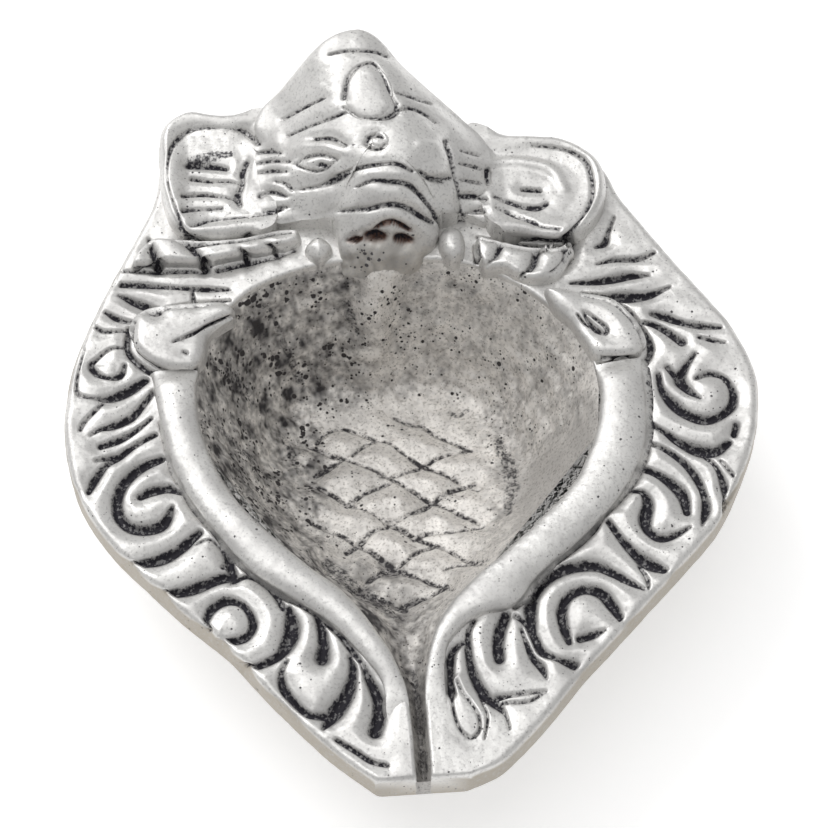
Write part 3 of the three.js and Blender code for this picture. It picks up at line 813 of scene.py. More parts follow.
# Cuts of the scrolls on the right, from the spout to the back
RIGHT_SCROLLS: tuple[Line, ...] = (
    (
        (4.8, -29.7, 0.2), (3.7, -30.6, 0.35), (3.2, -32.7, 0.45), (3.2, -35.2, 0.4), (3.2, -36.3, 0.12),
        (3.4, -38.4, 0.1), (4, -39.9, 0.1), (4.9, -40.6, 0.12), (5.7, -39.9, 0.12), (5.8, -38.3, 0.1),
        (5.2, -36.8, 0.1), (4.4, -35.5, 0.1), (3.9, -34.1, 0.12),
    ),
    ((6, -35.4, 0.1), (6.7, -38.3, 0.1), (6.2, -40.8, 0.06)),
    (
        (6.2, -27.2, 0.2), (5.5, -28.5, 0.25), (5.4, -31.9, 0.4), (5.9, -34.2, 0.5), (6.8, -36, 0.5),
        (7.8, -37, 0.4), (8.6, -38.3, 0.15), (8.9, -39.9, 0.08),
    ),
    ((7.8, -36.2, 0.3), (10.3, -36, 0.15), (12.9, -35.9, 0.12)),
    ((8.4, -36.8, 0.15), (11.2, -36.9, 0.12), (13, -35.9, 0.1)),
    ((9.6, -26.8, 0.5), (8.9, -28.3, 0.6), (8.5, -30, 0.6), (8.5, -31.7, 0.55)),
    (
        (10.6, -26.9, 0.2), (11.8, -27.9, 0.35), (12.4, -29.5, 0.4), (13, -31.2, 0.4), (14.5, -32.2, 0.25),
        (16.3, -33, 0.5),
    ),
    ((11.1, -28.5, 0.15), (11.5, -30.2, 0.25), (12, -31.8, 0.35), (12.8, -33, 0.4), (13.2, -34.5, 0.1)),
    (
        (12.3, -29, 0.35), (12.2, -27, 0.6), (12.5, -25, 0.7), (13.6, -23.2, 0.8), (15.5, -22, 0.7),
        (17.5, -21.5, 0.65), (19.8, -21.6, 0.6), (21.5, -22.6, 0.45), (23.3, -24, 0.3),
        (24.5, -24.8, 0.15),
    ),
    (
        (16, -30.3, 0.35), (15.6, -28.5, 0.5), (15.6, -26.5, 0.55), (16.5, -25, 0.5), (18.3, -24.3, 0.5),
        (20, -24.9, 0.6), (21, -26.5, 0.55), (21.7, -28, 0.35),
    ),
    ((17.2, -30, 0.4), (18.5, -29.7, 0.4), (19.9, -29.3, 0.1)),
    (
        (10.7, -25.8, 0.3), (11.8, -24.8, 0.4), (13.2, -22.8, 0.45), (15.1, -21, 0.4), (17.5, -19.3, 0.4),
        (19.8, -17.4, 0.35), (21.2, -15.8, 0.2), (22.8, -13.8, 0.5), (24.4, -11.8, 0.6), (25.6, -9.8, 0.6),
        (26.6, -7.2, 0.5), (26.9, -4.5, 0.35), (27.2, -2, 0.4), (27.2, 0, 0.4), (27.2, 2, 0.4),
    ),
    ((21.6, -16.4, 0.3), (22.6, -18.3, 0.35), (23.8, -20.1, 0.5), (25.2, -21.6, 0.7), (27.1, -22.7, 0.35)),
    ((24.4, -22, 0.2), (25, -23.8, 0.2), (25, -24.8, 0.1)),
    (
        (24.4, -12.8, 0.2), (25.7, -13.2, 0.3), (26.1, -14.5, 0.6), (25.6, -16.2, 0.7), (25.7, -17.6, 0.5),
        (26.8, -18.7, 0.45), (28.4, -18.6, 0.35), (30.3, -17.8, 0.1),
    ),
    ((26.2, -10.2, 0.35), (27.6, -11, 0.4), (29, -12.3, 0.55), (30, -13.8, 0.6), (30.2, -15.8, 0.4)),
    (
        (27, -7, 0.15), (29.1, -8.3, 0.3), (30.8, -10.1, 0.35), (31.9, -12.2, 0.4), (32.3, -14.2, 0.35),
        (32.3, -15.5, 0.5), (31.6, -17.6, 0.15),
    ),
    (
        (27.5, -4.7, 0.2), (29, -5.9, 0.3), (30.5, -7.2, 0.5), (32.5, -8.3, 0.75), (34.3, -8.5, 0.6),
        (35.8, -7.6, 0.35),
    ),
    ((36.5, -6.6, 0.35), (36.9, -5.5, 0.35)),
    ((33, -9, 0.3), (34, -10.7, 0.2), (34.6, -13, 0.4), (34.6, -15.5, 0.3), (34.2, -16.8, 0.1)),
    ((34.6, -9.9, 0.12), (35.8, -11.9, 0.15)),
    (
        (29.1, 1.5, 0.3), (29.2, -0.3, 0.35), (30.3, -2.3, 0.6), (31.8, -3.8, 0.55), (33.6, -4.5, 0.6),
        (35.4, -4.1, 0.45), (36.8, -2.8, 0.5), (37, -1, 0.35), (36.2, 0.6, 0.25), (34.6, 1.2, 0.3),
        (33.2, 0.7, 0.2),
    ),
    ((33.4, 3.9, 0.2), (32.2, 2.3, 0.35), (31.4, 0.8, 0.6), (32.3, -0.8, 0.4), (33.3, -1.9, 0.12)),
    ((30.2, 2.4, 0.3), (31.3, 0.9, 0.4)),
    ((28.2, 8.4, 0.2), (29.6, 7.9, 0.35), (30.9, 6.9, 0.4), (32.2, 5.6, 0.45)),
    ((29.3, 9.5, 0.3), (30.8, 9, 0.45), (32.5, 8.1, 0.35), (34.6, 7.5, 0.35), (36.7, 7.1, 0.2)),
    ((34.2, 6, 0.2), (36, 5.3, 0.2), (37, 5, 0.1)),
    ((21.7, 12.6, 0.2), (24, 12.2, 0.3), (26.6, 12, 0.65), (29, 12, 0.45), (31.7, 12.8, 0.1)),
    (
        (25.3, 11.7, 0.35), (26.5, 10.2, 0.3), (27.6, 8.3, 0.3), (28.3, 6.5, 0.35), (28.6, 5, 0.35),
        (28.1, 3.6, 0.3), (27.3, 2.9, 0.3), (26, 2.9, 0.4), (23, 3.6, 0.25),
    ),
    ((20.5, 14.1, 0.15), (23, 14.2, 0.35), (25.5, 14.5, 0.5), (27.5, 14.8, 0.45), (29.5, 14.5, 0.15)),
    ((23.7, 16.4, 0.1), (26, 17, 0.3), (28.5, 16.9, 0.3), (30.4, 17.6, 0.2)),
    ((23.9, 18.8, 0.2), (24.9, 19.3, 0.35), (25.4, 20.5, 0.2), (26.4, 22.7, 0.1)),
)
# Curls on the volutes
VOLUTE_CUTS: tuple[Line, ...] = (
    (
        (21.7, 10.2, 0.15), (22, 9, 0.25), (22.8, 7.8, 0.3), (23.8, 7.2, 0.2), (24, 7.8, 0.2),
        (22, 10.1, 0.15),
    ),
    ((20.8, 9.8, 0.12), (21.3, 8.8, 0.2), (22, 8.2, 0.12)),
    ((-23.4, 8, 0.12), (-23, 7.8, 0.12)),
    ((-24.5, 9.4, 0.1), (-23, 10.1, 0.2), (-21, 11, 0.25), (-19, 11.6, 0.3), (-17.5, 12.2, 0.2)),
)

SCROLLWORK = Carving(grooves=LEFT_LEAVES + RIGHT_LEAVES + LEFT_SCROLLS + RIGHT_SCROLLS + VOLUTE_CUTS)

# Eyes, brows, bands and wrinkles of the head, and the ribs of its temples
HEAD_CUTS: tuple[Line, ...] = (
    ((-7.3, 35.9, 0.3), (-5.6, 35.9, 0.25), (-3.9, 34.8, 0.2)),
    ((-9.8, 32.4, 0.12), (-8.6, 33.4, 0.2), (-6.8, 33.6, 0.2), (-5.1, 32.7, 0.2)),
    ((-9.8, 32.4, 0.12), (-8.4, 31.5, 0.15), (-6.9, 31.3, 0.2), (-5.1, 32.7, 0.12)),
    ((-6.9, 32.2, 0.35), (-6.5, 32, 0.35)),
    ((-9.4, 28.8, 0.15), (-7.1, 29.1, 0.25), (-5.5, 29.8, 0.45), (-3.8, 30.7, 0.2)),
    ((-5.5, 30.3, 0.2), (-3, 31.3, 0.25), (0, 31.9, 0.25), (2, 31.8, 0.25), (3.8, 30.6, 0.2)),
    (
        (-3, 28.8, 0.15), (-1, 29.6, 0.25), (1, 29.3, 0.35), (3, 28.8, 0.35), (4.5, 27.2, 0.3),
        (5.4, 25.6, 0.25), (6.2, 23.8, 0.2),
    ),
    ((-5, 25.5, 0.2), (-2, 25.5, 0.3), (1, 25.9, 0.4), (3, 25.2, 0.4), (4.5, 24, 0.35), (5.8, 23, 0.25)),
    ((4.6, 30.6, 0.2), (6, 29.2, 0.35), (7.3, 28.9, 0.35), (8.2, 29.3, 0.2)),
    (
        (-3.7, 41.7, 0.25), (-3, 44.5, 0.2), (-1.4, 46.3, 0.15), (0, 46.6, 0.15), (1.1, 45.1, 0.15),
        (1.9, 42.4, 0.15), (2.5, 40.4, 0.15),
    ),
    (
        (-3.8, 40.3, 0.1), (-1.9, 38.7, 0.15), (0.5, 38.4, 0.2), (1.6, 38.7, 0.35), (2.5, 39.4, 0.35),
        (2.6, 40.4, 0.2),
    ),
    ((-5, 48.2, 0.15), (-3, 48.6, 0.15), (-1.2, 48.5, 0.15), (0.5, 48.3, 0.2), (2, 47.5, 0.2)),
    ((-10.5, 36.6, 0.12), (-8, 37.8, 0.15), (-5, 39, 0.2), (-3.5, 39.6, 0.15)),
    ((-11, 39, 0.15), (-8.5, 40.6, 0.2), (-6, 41.8, 0.15)),
    ((2.8, 39.6, 0.2), (4.3, 39.7, 0.25), (5.8, 38.7, 0.2), (7, 37.4, 0.15)),
    ((2.8, 42, 0.15), (5, 41, 0.2), (6.5, 40.2, 0.15)),
    (
        (8.1, 34.7, 0.3), (8.5, 31.8, 0.3), (8.8, 28.2, 0.2), (8.8, 24.2, 0.15), (7, 22.9, 0.25),
        (6, 23.9, 0.25),
    ),
    ((-1.5, 34.9, 0.2), (-0.9, 35.9, 0.25), (0.1, 36.1, 0.3), (0.6, 35.6, 0.15)),
    ((-1.5, 34.9, 0.15), (-0.9, 34.2, 0.15), (0.2, 34, 0.15), (0.9, 34.6, 0.12)),
    ((-14, 34.5, 0.15), (-12.8, 34.6, 0.25), (-11.5, 34.3, 0.15)),
    ((-14, 33, 0.15), (-12.5, 33.2, 0.2), (-10.5, 33, 0.15)),
    ((-14, 31.7, 0.15), (-12.5, 31.8, 0.25), (-11, 31.6, 0.15)),
    ((-12.2, 30.2, 0.15), (-11, 29.7, 0.2), (-10.3, 28.8, 0.15)),
    ((-14.2, 28.4, 0.25), (-13, 28.8, 0.25), (-12, 28.5, 0.25), (-11, 28, 0.15)),
    ((-13.8, 26.2, 0.2), (-12.5, 26.4, 0.25), (-11, 26.5, 0.2)),
    ((9.7, 33.1, 0.15), (11.7, 32.3, 0.15)),
    ((9.5, 31.3, 0.2), (11.8, 30.4, 0.2)),
    ((9.4, 28.9, 0.2), (11.6, 28.3, 0.2)),
    ((9.2, 26.4, 0.35), (11.7, 26.3, 0.35)),
    ((9, 24.2, 0.2), (11.5, 24.5, 0.25)),
)
# Ribs, rims and marks of the ears
LEFT_EAR_RIBS: tuple[Line, ...] = (
    ((-22, 33.4, 0.35), (-20, 33.2, 0.35), (-17.8, 32.6, 0.25)),
    ((-21.8, 31.5, 0.25), (-20, 31, 0.2), (-17.5, 30.7, 0.12), (-16, 30.2, 0.1)),
    ((-22.7, 29.2, 0.25), (-20.5, 29.1, 0.2), (-18.5, 28.6, 0.12), (-16.5, 28.2, 0.1)),
    ((-22.7, 27.2, 0.3), (-21.8, 27.1, 0.2), (-18.5, 27, 0.12)),
    ((-22, 25, 0.25), (-20, 25.6, 0.2), (-18, 25.6, 0.12), (-14, 25.8, 0.1), (-11.5, 26.2, 0.12)),
)
LEFT_EAR_LINES: tuple[Line, ...] = (
    (
        (-14, 35.7, 0.2), (-15.5, 37.6, 0.3), (-17, 38, 0.12), (-21.5, 38.3, 0.2), (-22.8, 37.5, 0.3),
        (-23.8, 36.3, 0.3), (-24.5, 34.5, 0.25), (-24.8, 32, 0.15), (-24.5, 30, 0.15), (-24, 28, 0.25),
        (-23.6, 26.5, 0.3), (-23.5, 24, 0.4), (-22.6, 22.6, 0.45),
    ),
    ((-15.5, 33.2, 0.25), (-16, 31.8, 0.25), (-16.1, 30, 0.2), (-16.7, 28.5, 0.4), (-16.4, 27.3, 0.25)),
    ((-21.7, 22.3, 0.35), (-19, 22.2, 0.15), (-16.6, 22.5, 0.25), (-13.5, 23.1, 0.3), (-10.8, 23.6, 0.4)),
)
RIGHT_EAR_MARKS: tuple[Line, ...] = (
    ((12.6, 30.3, 0.25), (12.5, 28.3, 0.25)),
    ((16.3, 27.3, 0.25), (18.2, 27, 0.25)),
)
RIGHT_EAR_LINES: tuple[Line, ...] = (
    (
        (18, 33.2, 0.15), (20, 32.8, 0.15), (22, 32.2, 0.2), (23.7, 30.8, 0.25), (24.2, 28.5, 0.25),
        (24.1, 26, 0.25), (23.4, 24, 0.25), (22.6, 22.6, 0.25), (21.7, 21, 0.35), (20.9, 19.8, 0.35),
    ),
    ((13, 26.5, 0.2), (14.5, 25.6, 0.25), (16, 24.9, 0.3), (17.8, 24.6, 0.35), (18.8, 25, 0.25)),
    ((13, 25, 0.15), (15, 23.8, 0.25), (17, 22.8, 0.3), (18, 22, 0.35), (20, 21.3, 0.2)),
)
# Painted shade in the hollow of the left ear, above its ribs
EAR_SHADES: tuple[Line, ...] = (((-22.0, 34.0, 0.4), (-19.5, 34.3, 0.7), (-17.2, 34.4, 0.4)),)
# Nostrils and mouth under the trunk, with painted shade round them
HEAD_SLOTS: tuple[Line, ...] = (
    ((-4.4, 21.4, 0.1), (-3.7, 21.3, 0.3), (-3, 21.3, 0.15)),
    ((-2.1, 21.6, 0.35), (-1.2, 21.5, 0.5), (-0.4, 21.3, 0.35)),
    ((-1.1, 22.7, 0.12), (0.1, 23.3, 0.2), (1.3, 23.3, 0.2), (2.9, 22.2, 0.15)),
    ((1.4, 21, 0.3), (2.2, 20.9, 0.4), (2.9, 20.8, 0.25)),
)
# Raised folds and swellings, with their heights
HEAD_RIDGES: tuple[Line, ...] = (
    ((12.8, 31, 0.6, 0.3), (16, 31, 0.7, 0.45), (19.8, 29.5, 0.7, 0.45), (21, 26.8, 0.6, 0.3)),
    ((10.5, 22.8, 0.8, 0.3), (15, 21.8, 0.9, 0.35), (20, 20.6, 0.8, 0.3)),
    ((-9.4, 34.6, 0.8, 0.25), (-7, 35, 0.9, 0.35), (-4.6, 34, 0.8, 0.3)),
    ((5, 34.4, 0.8, 0.25), (6.6, 33.6, 0.9, 0.3), (7.8, 32, 0.8, 0.2)),
)
HEAD_BUMPS: tuple[Bump, ...] = (
    Bump(-7.6, 32.3, 1.7, 0.9, 0.4, -8),
    Bump(6.6, 30.6, 1.5, 1.2, 0.35),
    Bump(-6.6, 26.8, 2.2, 2.0, 0.4),
    Bump(7.6, 26.2, 1.5, 2.2, 0.35),
)
FIGURE = Carving(
    grooves=LEFT_EAR_RIBS + RIGHT_EAR_MARKS + LEFT_LEAVES + RIGHT_LEAVES,
    creases=HEAD_CUTS + LEFT_EAR_LINES + RIGHT_EAR_LINES,
    slots=HEAD_SLOTS,
    stains_and_shades=EAR_SHADES,
    ridges=HEAD_RIDGES,
    bumps=HEAD_BUMPS,
    spread=0.7,
)

# The net on the well's floor
NET_CUTS: tuple[Line, ...] = (
    (
        (-0.6, -2, 0.15), (1, -2.8, 0.2), (2.5, -3.2, 0.2), (3.6, -4.1, 0.25), (5, -5.1, 0.2),
        (7.6, -6.6, 0.15),
    ),
    (
        (-9.2, -4.3, 0.25), (-8, -3.2, 0.2), (-6.3, -2.8, 0.2), (-5, -3.4, 0.2), (-3, -4.4, 0.15),
        (-1.4, -5, 0.15), (0.5, -6.7, 0.2), (2, -7.8, 0.3), (3.8, -8.8, 0.25), (5.6, -10, 0.2),
        (8, -11.6, 0.12),
    ),
    (
        (-10.2, -4.6, 0.2), (-8, -5.8, 0.25), (-6.2, -6.6, 0.2), (-4.6, -7.5, 0.15), (-2.6, -8.6, 0.15),
        (-1, -9.6, 0.2), (0.8, -10.9, 0.25), (2.4, -12.1, 0.3), (4.2, -13.1, 0.25), (5.8, -14.2, 0.25),
        (7.6, -15.4, 0.2),
    ),
    (
        (-10.4, -9.2, 0.25), (-8.2, -10.6, 0.25), (-6.6, -11.7, 0.25), (-4.8, -12.8, 0.15),
        (-3.2, -13.8, 0.15), (-1.6, -14.7, 0.35), (0.2, -16.1, 0.3), (2.2, -17.3, 0.25),
        (4.2, -18.4, 0.25), (6.2, -19.9, 0.25), (8.2, -20.8, 0.12),
    ),
    (
        (-10.2, -14.2, 0.25), (-8.2, -15.3, 0.25), (-6.2, -16.4, 0.2), (-4.4, -17.6, 0.3),
        (-2.6, -19, 0.4), (-1, -20.4, 0.35), (0.6, -21.4, 0.25), (2.4, -22.3, 0.25), (4.2, -23.2, 0.12),
    ),
    ((-8.6, -20.4, 0.25), (-6.8, -22, 0.25), (-5, -22.8, 0.3), (-3, -23.7, 0.3), (-1, -24.8, 0.3)),
    ((-5.4, -6.2, 0.15), (-4, -5.1, 0.2), (-2.4, -4.5, 0.15)),
    ((-9.6, -8.2, 0.3), (-8.2, -7.3, 0.4), (-6.4, -6.6, 0.15)),
    (
        (-2.6, -9, 0.12), (-0.6, -9, 0.15), (1.2, -8.4, 0.2), (2.4, -7.8, 0.2), (4.8, -6.9, 0.2),
        (7.4, -6.5, 0.15),
    ),
    ((-6.4, -12, 0.3), (-4.3, -10.9, 0.25), (-3, -10.3, 0.25), (-1.4, -9.8, 0.2)),
    (
        (-2.4, -14.4, 0.25), (-0.4, -14.1, 0.15), (1.6, -13.2, 0.3), (4.3, -11.5, 0.25), (5.6, -11, 0.3),
        (7.6, -10.6, 0.25),
    ),
    ((-6.6, -17.6, 0.35), (-5, -16.5, 0.35), (-4, -15.7, 0.25), (-2.2, -14.9, 0.2)),
    ((0.6, -16.6, 0.25), (2, -16.1, 0.25), (4.6, -16.5, 0.12), (6.4, -16.2, 0.15), (8.2, -15.8, 0.15)),
    ((-2.2, -20, 0.3), (-0.4, -19.2, 0.2), (1.2, -18.2, 0.25), (2.6, -17.8, 0.2)),
    ((-5.4, -22.4, 0.25), (-4, -20.9, 0.3), (-2.6, -19.8, 0.4)),
    ((-1, -24.2, 0.4), (0.6, -23.7, 0.3), (2, -23.3, 0.25), (3.4, -22.4, 0.25)),
    ((3.4, -20.8, 0.12), (6, -20.1, 0.15), (8, -19.9, 0.2)),
)
# Dark streaks and patches in the well, and painted shade beside the trunk's ridge
WELL_STAINS_AND_SHADE: tuple[Line, ...] = (
    ((-13.2, 12, 0.2), (-12.2, 8, 0.4), (-11.2, 5, 0.5), (-10.4, 2, 0.3)),
    ((-18.6, 6, 0.2), (-17, 2.6, 0.5), (-16, 0.6, 0.3)),
    ((-20, -2, 0.2), (-17.5, -5, 0.45), (-16, -7.5, 0.2)),
    ((-17, -9.5, 0.2), (-14.6, -13.6, 0.4)),
    ((-13.4, -3, 0.3), (-12, -6, 0.5), (-11.4, -8, 0.3)),
    ((-8.8, -19.2, 0.5), (-7, -20.8, 0.6)),
    ((-6.4, -21.4, 0.5), (-3.4, -24, 0.8), (-1.6, -26.6, 0.6)),
    ((-3, -19, 0.5), (-2.4, -20.2, 0.6), (-1.4, -20.6, 0.4)),
    ((5.6, -2.2, 0.35), (6.6, -2.4, 0.3), (7.6, -1.8, 0.2)),
    ((10.6, -6, 0.6), (11.4, -9, 1), (11.6, -12, 0.9), (10.8, -14.6, 0.5)),
    ((-0.6, -33, 0.3), (-0.3, -38, 0.5), (-0.3, -44, 0.5)),
    # Painted shade in the valley left of the trunk's ridge
    ((-5, 13.5, 0.3), (-4.6, 11, 0.6), (-4, 8.8, 0.3)),
    ((-15.6, 14.2, 0.2), (-14, 13, 0.5), (-13.4, 11.6, 0.4)),
)
WELL_CARVING = Carving(
    creases=NET_CUTS,
    stains_and_shades=WELL_STAINS_AND_SHADE,
    least=0.25,
    deepening=0.7,
    deepest=0.6,
    shoulder=1.7,
    spread=1.3,
)


# Parts of the lamp


@dataclass(frozen=True)
class Border:
    """The carved border in two halves, which meet at the spout and under the head.

    Attributes:
        edge_round: Rounding of the outer edge's top.
        foot_round: Rounding of its bottom.
        mouth_round: Rounding of the edge at the well.
        wall: How far its wall at the well runs down before it turns in.
        wall_dull: How dull that wall is.
        tip_round: Rounding of its top at the spout's cut end.
        along: Squares along each half.
        across: Squares across its top.
    """

    edge_round: float = 0.95
    foot_round: float = 0.8
    mouth_round: float = 0.4
    wall: float = 2.6
    wall_dull: float = 0.6
    tip_round: float = 0.5
    along: int = 760
    across: int = 96

    def build(self, finish: Material) -> None:
        """Makes both halves.

        Args:
            finish: Their material.
        """
        for name, mouth, edge, turned in (
            ("left_border", LEFT_MOUTH, LEFT_EDGE, False),
            ("right_border", RIGHT_MOUTH, RIGHT_EDGE, True),
        ):
            dress(self._half(name, mouth, edge, turned), finish, Slot.SILVER, "border_plate")

    def _half(self, name: str, mouth: Line, edge: Line, turned: bool) -> bpy.types.Object:
        """Makes one half.

        Args:
            name: The piece's name.
            mouth: Line of the well's mouth from the spout to the back.
            edge: Outline from the spout to the back, with shares of the way along the mouth.
            turned: Whether the half is on the right, where the sections run the other way.

        Returns:
            The piece.
        """
        shares = np.linspace(0, 1, self.along + 1)
        outer = at_shares(curve(edge, 0.1), shares[::-1] if turned else shares)
        inner = at_shares(curve(mouth, 0.1), np.clip(outer[:, 2], 0, 1))
        out = outer[:, :2] - inner
        out /= np.linalg.norm(out, axis=1)[:, None]
        rows = [(inner, -self.wall, 0.0, self.wall_dull)]
        for angle in np.linspace(0, math.pi / 2, 4):
            drop = self.mouth_round * (1 - math.sin(angle))
            rows.append((inner + out * self.mouth_round * (1 - math.cos(angle)), -drop, 1.0, 0.0))
        first, last = inner + out * self.mouth_round, outer[:, :2] - out * self.edge_round
        for share in np.linspace(0, 1, self.across + 1)[1:]:
            rows.append((first + share * (last - first), 0.0, 1.0, 0.0))
        for angle in np.linspace(0, math.pi / 2, 9)[1:]:
            inset, drop = self.edge_round * (1 - math.sin(angle)), self.edge_round * (1 - math.cos(angle))
            rows.append((outer[:, :2] - out * inset, -drop, 1.0, ease(angle, 0.9, 1.5)))
        for height in np.linspace(-self.edge_round, PLATE_BOTTOM + self.foot_round, 7)[1:]:
            rows.append((outer[:, :2], height, 1.0, 1.0))
        for angle in np.linspace(0, math.pi / 2, 5)[1:]:
            inset, rise = self.foot_round * (1 - math.cos(angle)), self.foot_round * (1 - math.sin(angle))
            rows.append((outer[:, :2] - out * inset, PLATE_BOTTOM + rise, 0.0, 1.0))
        rows.append((inner, PLATE_BOTTOM, 0.0, 1.0))
        rows.append(rows[0])
        sections = np.stack([with_height(row[0], np.full(len(row[0]), row[1])) for row in rows])
        top = sections[..., 2] > -1
        sections[..., 2] -= np.where(top, round_edge(sections[..., 1] - SPOUT_TIP, self.tip_round), 0)
        give, dull = (np.array([row[k] for row in rows]) for k in (2, 3))
        return bar(name, sections, give, dull, SCROLLWORK)


@dataclass(frozen=True)
class OilWell:
    """The oil well: steep walls, a floor that rises from the back to the wick groove, and a flat foot.

    Attributes:
        deepest: Depth of the floor at the back.
        groove_depth: Depth of the wick groove.
        back: Where the floor is deepest.
        front: Where it meets the wick groove.
        side_slope: Steepness of the side walls.
        back_slope: Steepness of the back wall.
        floor_curve: How the floor curves on its way up.
        fillet: Rounding between walls and floor.
        rim_round: Rounding of the walls at the mouth.
        ridge: The trunk's end on the back wall, as rows of y, middle, half-breadth and rise.
        tuck: How far its rim runs out under the border.
        shell: Breadth of its outside under the border as a share of the mouth.
        foot: Half-breadth and half-length of the flat foot.
        bellies: How squarely the outside turns down, at the front and at the back.
        rim_tone: Brightness of the edge and the outside.
        rim_worn: How many specks they have.
    """

    deepest: float = 16.2
    groove_depth: float = 2.4
    back: float = 10.0
    front: float = -31.4
    side_slope: float = 1.8
    back_slope: float = 2.4
    floor_curve: float = 1.3
    fillet: float = 1.7
    rim_round: float = 0.35
    ridge: Line = (
        (3, -3.4, 2.4, 0), (11, -3, 2.4, 1), (14.6, -2.1, 2.2, 1.9), (18.9, 0.4, 2.6, 2.2),
    )
    tuck: float = 0.5
    shell: float = 0.97
    foot: tuple[float, float] = (8.0, 9.0)
    bellies: tuple[float, float] = (1.2, 2.0)
    rim_tone: float = 0.8
    rim_worn: float = 0.5

    def mouth(self, step: float = 0.4) -> Array:
        """Gives the closed mouth, with the wick groove.

        Args:
            step: Distance between the places given back.

        Returns:
            The outline.
        """
        left, right = curve(LEFT_MOUTH, step), curve(RIGHT_MOUTH, step)
        line = np.vstack([right, left[::-1][1:]])
        return np.roll(line, -np.argmin(line[:, 0] + line[:, 1]), axis=0)

    def outline(self) -> Array:
        """Gives the mouth, grown where it runs under the border and cut flat at the spout.

        Returns:
            The outline.
        """
        line = self.mouth(0.2)
        ahead = np.roll(line, -1, axis=0) - np.roll(line, 1, axis=0)
        ahead /= np.linalg.norm(ahead, axis=1)[:, None]
        grown = line + self.tuck * np.column_stack([ahead[:, 1], -ahead[:, 0]])
        grown[:, 1] = np.maximum(grown[:, 1], SPOUT_TIP)
        return grown

    def level(self, places: Array) -> Array:
        """Gives the height inside the well and just outside its mouth.

        Args:
            places: Plan places.

        Returns:
            Heights above the border's top.
        """
        x, y = places.T
        rows = np.array(self.ridge)
        middle, breadth, out = (np.interp(y, rows[:, 0], column) for column in rows.T[1:])
        inward = rim_distance(places, self.mouth())
        inward -= out * np.exp(-(np.abs((x - middle) / breadth) ** 2.5))
        share = np.clip((self.back - y) / (self.back - self.front), 0, 1)
        floor = self.groove_depth + (self.deepest - self.groove_depth) * (1 - share**self.floor_curve)
        slope = self.side_slope + (self.back_slope - self.side_slope) * ease(y, 2, 14)
        slope += 3 * ease(-y, 27, 32)
        wall = slope * self.rim_round * np.log1p(np.exp(np.clip(inward / self.rim_round, -30, 30)))
        blend = -np.log(np.exp(-wall / self.fillet) + np.exp(-floor / self.fillet))
        zero = -np.log1p(np.exp(-floor / self.fillet))
        return -0.3 - self.fillet * (blend - zero)

    def surface(self, places: Array, _: Array) -> Skin:
        """Gives the inside, rough on its walls, smooth on its right and cleanest on the floor's net, with
        painted shade on its left wall and beside the trunk's ridge and a painted highlight on that ridge.

        Args:
            places: Plan places.

        Returns:
            The skin.
        """
        x, y = places.T
        points = with_height(places, self.level(places))
        seen_x, seen_y = VIEW.seen(points).T
        inward = rim_distance(places, self.mouth())
        net = ease(10.5 - np.abs(seen_x), 0, 3) * ease(2 - seen_y, 0, 4) * ease(seen_y, -26, -22)
        smooth = ease(x, 9, 14) * ease(3 - y, 0, 8) * (1 - net)
        left = ease(-seen_x, 1, 8) * (1 - net)
        within = ease(inward, 0, 1.6) * ease(y, -36, -26)
        rough = (0.32 - 0.22 * net - 0.27 * smooth) * within + 0.03
        mottle = 0.35 * lumps(points, 3.2) + 0.4 * lumps(points, 1.3) + 0.45 * lumps(points, 0.5)
        blotches = np.maximum(lumps(points * (1, 1, 0.5), 2.0) - 0.1, 0)
        # Painted shade darkens the left wall.
        tone = 0.82 - 0.28 * left - 0.2 * smooth + 0.06 * net
        # Painted highlight on the trunk's ridge, and painted shade on the wall on its right.
        ridge = 0.3 * np.exp(-(((seen_x + 1.6) / 1.6) ** 2))
        shade = 0.2 * np.exp(-(((seen_x - 2.6) / 1.8) ** 2))
        tone += ease(seen_y, 8, 13) * (ridge - shade)
        tone += mottle * (0.75 + 0.35 * left - 0.4 * net - 0.6 * smooth) - 0.9 * left * blotches
        # The floor is dark towards the wick groove.
        patchiness = 1 + 1.5 * lumps(points, 1.0)
        tone -= 0.32 * ease(-seen_y, 17, 22) * ease(4 - seen_x, 0, 7) * patchiness
        tone *= 1 - 0.1 * ease(-y, 22, 28) - 0.2 * ease(-y, 30, 36)
        worn = 0.6 + 0.35 * left - 0.15 * net - 0.5 * smooth
        inner = ease(inward, -0.4, 0.2)
        tone = self.rim_tone + (tone - self.rim_tone) * inner
        worn = self.rim_worn + (worn - self.rim_worn) * inner
        return Skin(points, 1.0, 1.0, rough, tone, worn)

    def ring(self, share: float) -> Ring:
        """Gives a ring of the outside.

        Args:
            share: Its share of the way down, from 0 under the border to 1 at the foot.

        Returns:
            Where it puts a point of the edge.
        """

        def place(edge: Vector) -> Vector:
            """Puts a point of the edge on the ring."""
            wide = Vector((edge.x, max(edge.y, self.front + 3), 0)) * self.shell
            angle = math.atan2(wide.x, wide.y)
            foot = Vector((self.foot[0] * math.sin(angle), self.foot[1] * math.cos(angle), 0))
            belly = self.bellies[0] + (self.bellies[1] - self.bellies[0]) * (1 + math.cos(angle)) / 2
            flat = foot + (wide - foot) * (1 - share**belly) ** (1 / belly)
            return Vector((flat.x, flat.y, PLATE_BOTTOM - (PLATE_TOP + PLATE_BOTTOM) * share))

        return place

    @staticmethod
    def _tucked(edge: Vector) -> Vector:
        """Puts a point of the edge at the bottom of the border."""
        return Vector((edge.x, edge.y, PLATE_BOTTOM))

    def build(self, finish: Material) -> None:
        """Makes the well with its foot.

        Args:
            finish: Its material.
        """
        under = (self.ring(share) for share in (0, 0.16, 0.32, 0.5, 0.66, 0.8, 0.9, 0.97, 1))
        rings = (self._tucked, *under)
        centre = (0.0, -2.0)
        piece = patch("oil_well", self.outline(), centre, self.surface, WELL_CARVING, 0.15, rings)
        dress(piece, finish, Slot.DULL, "oil_well")


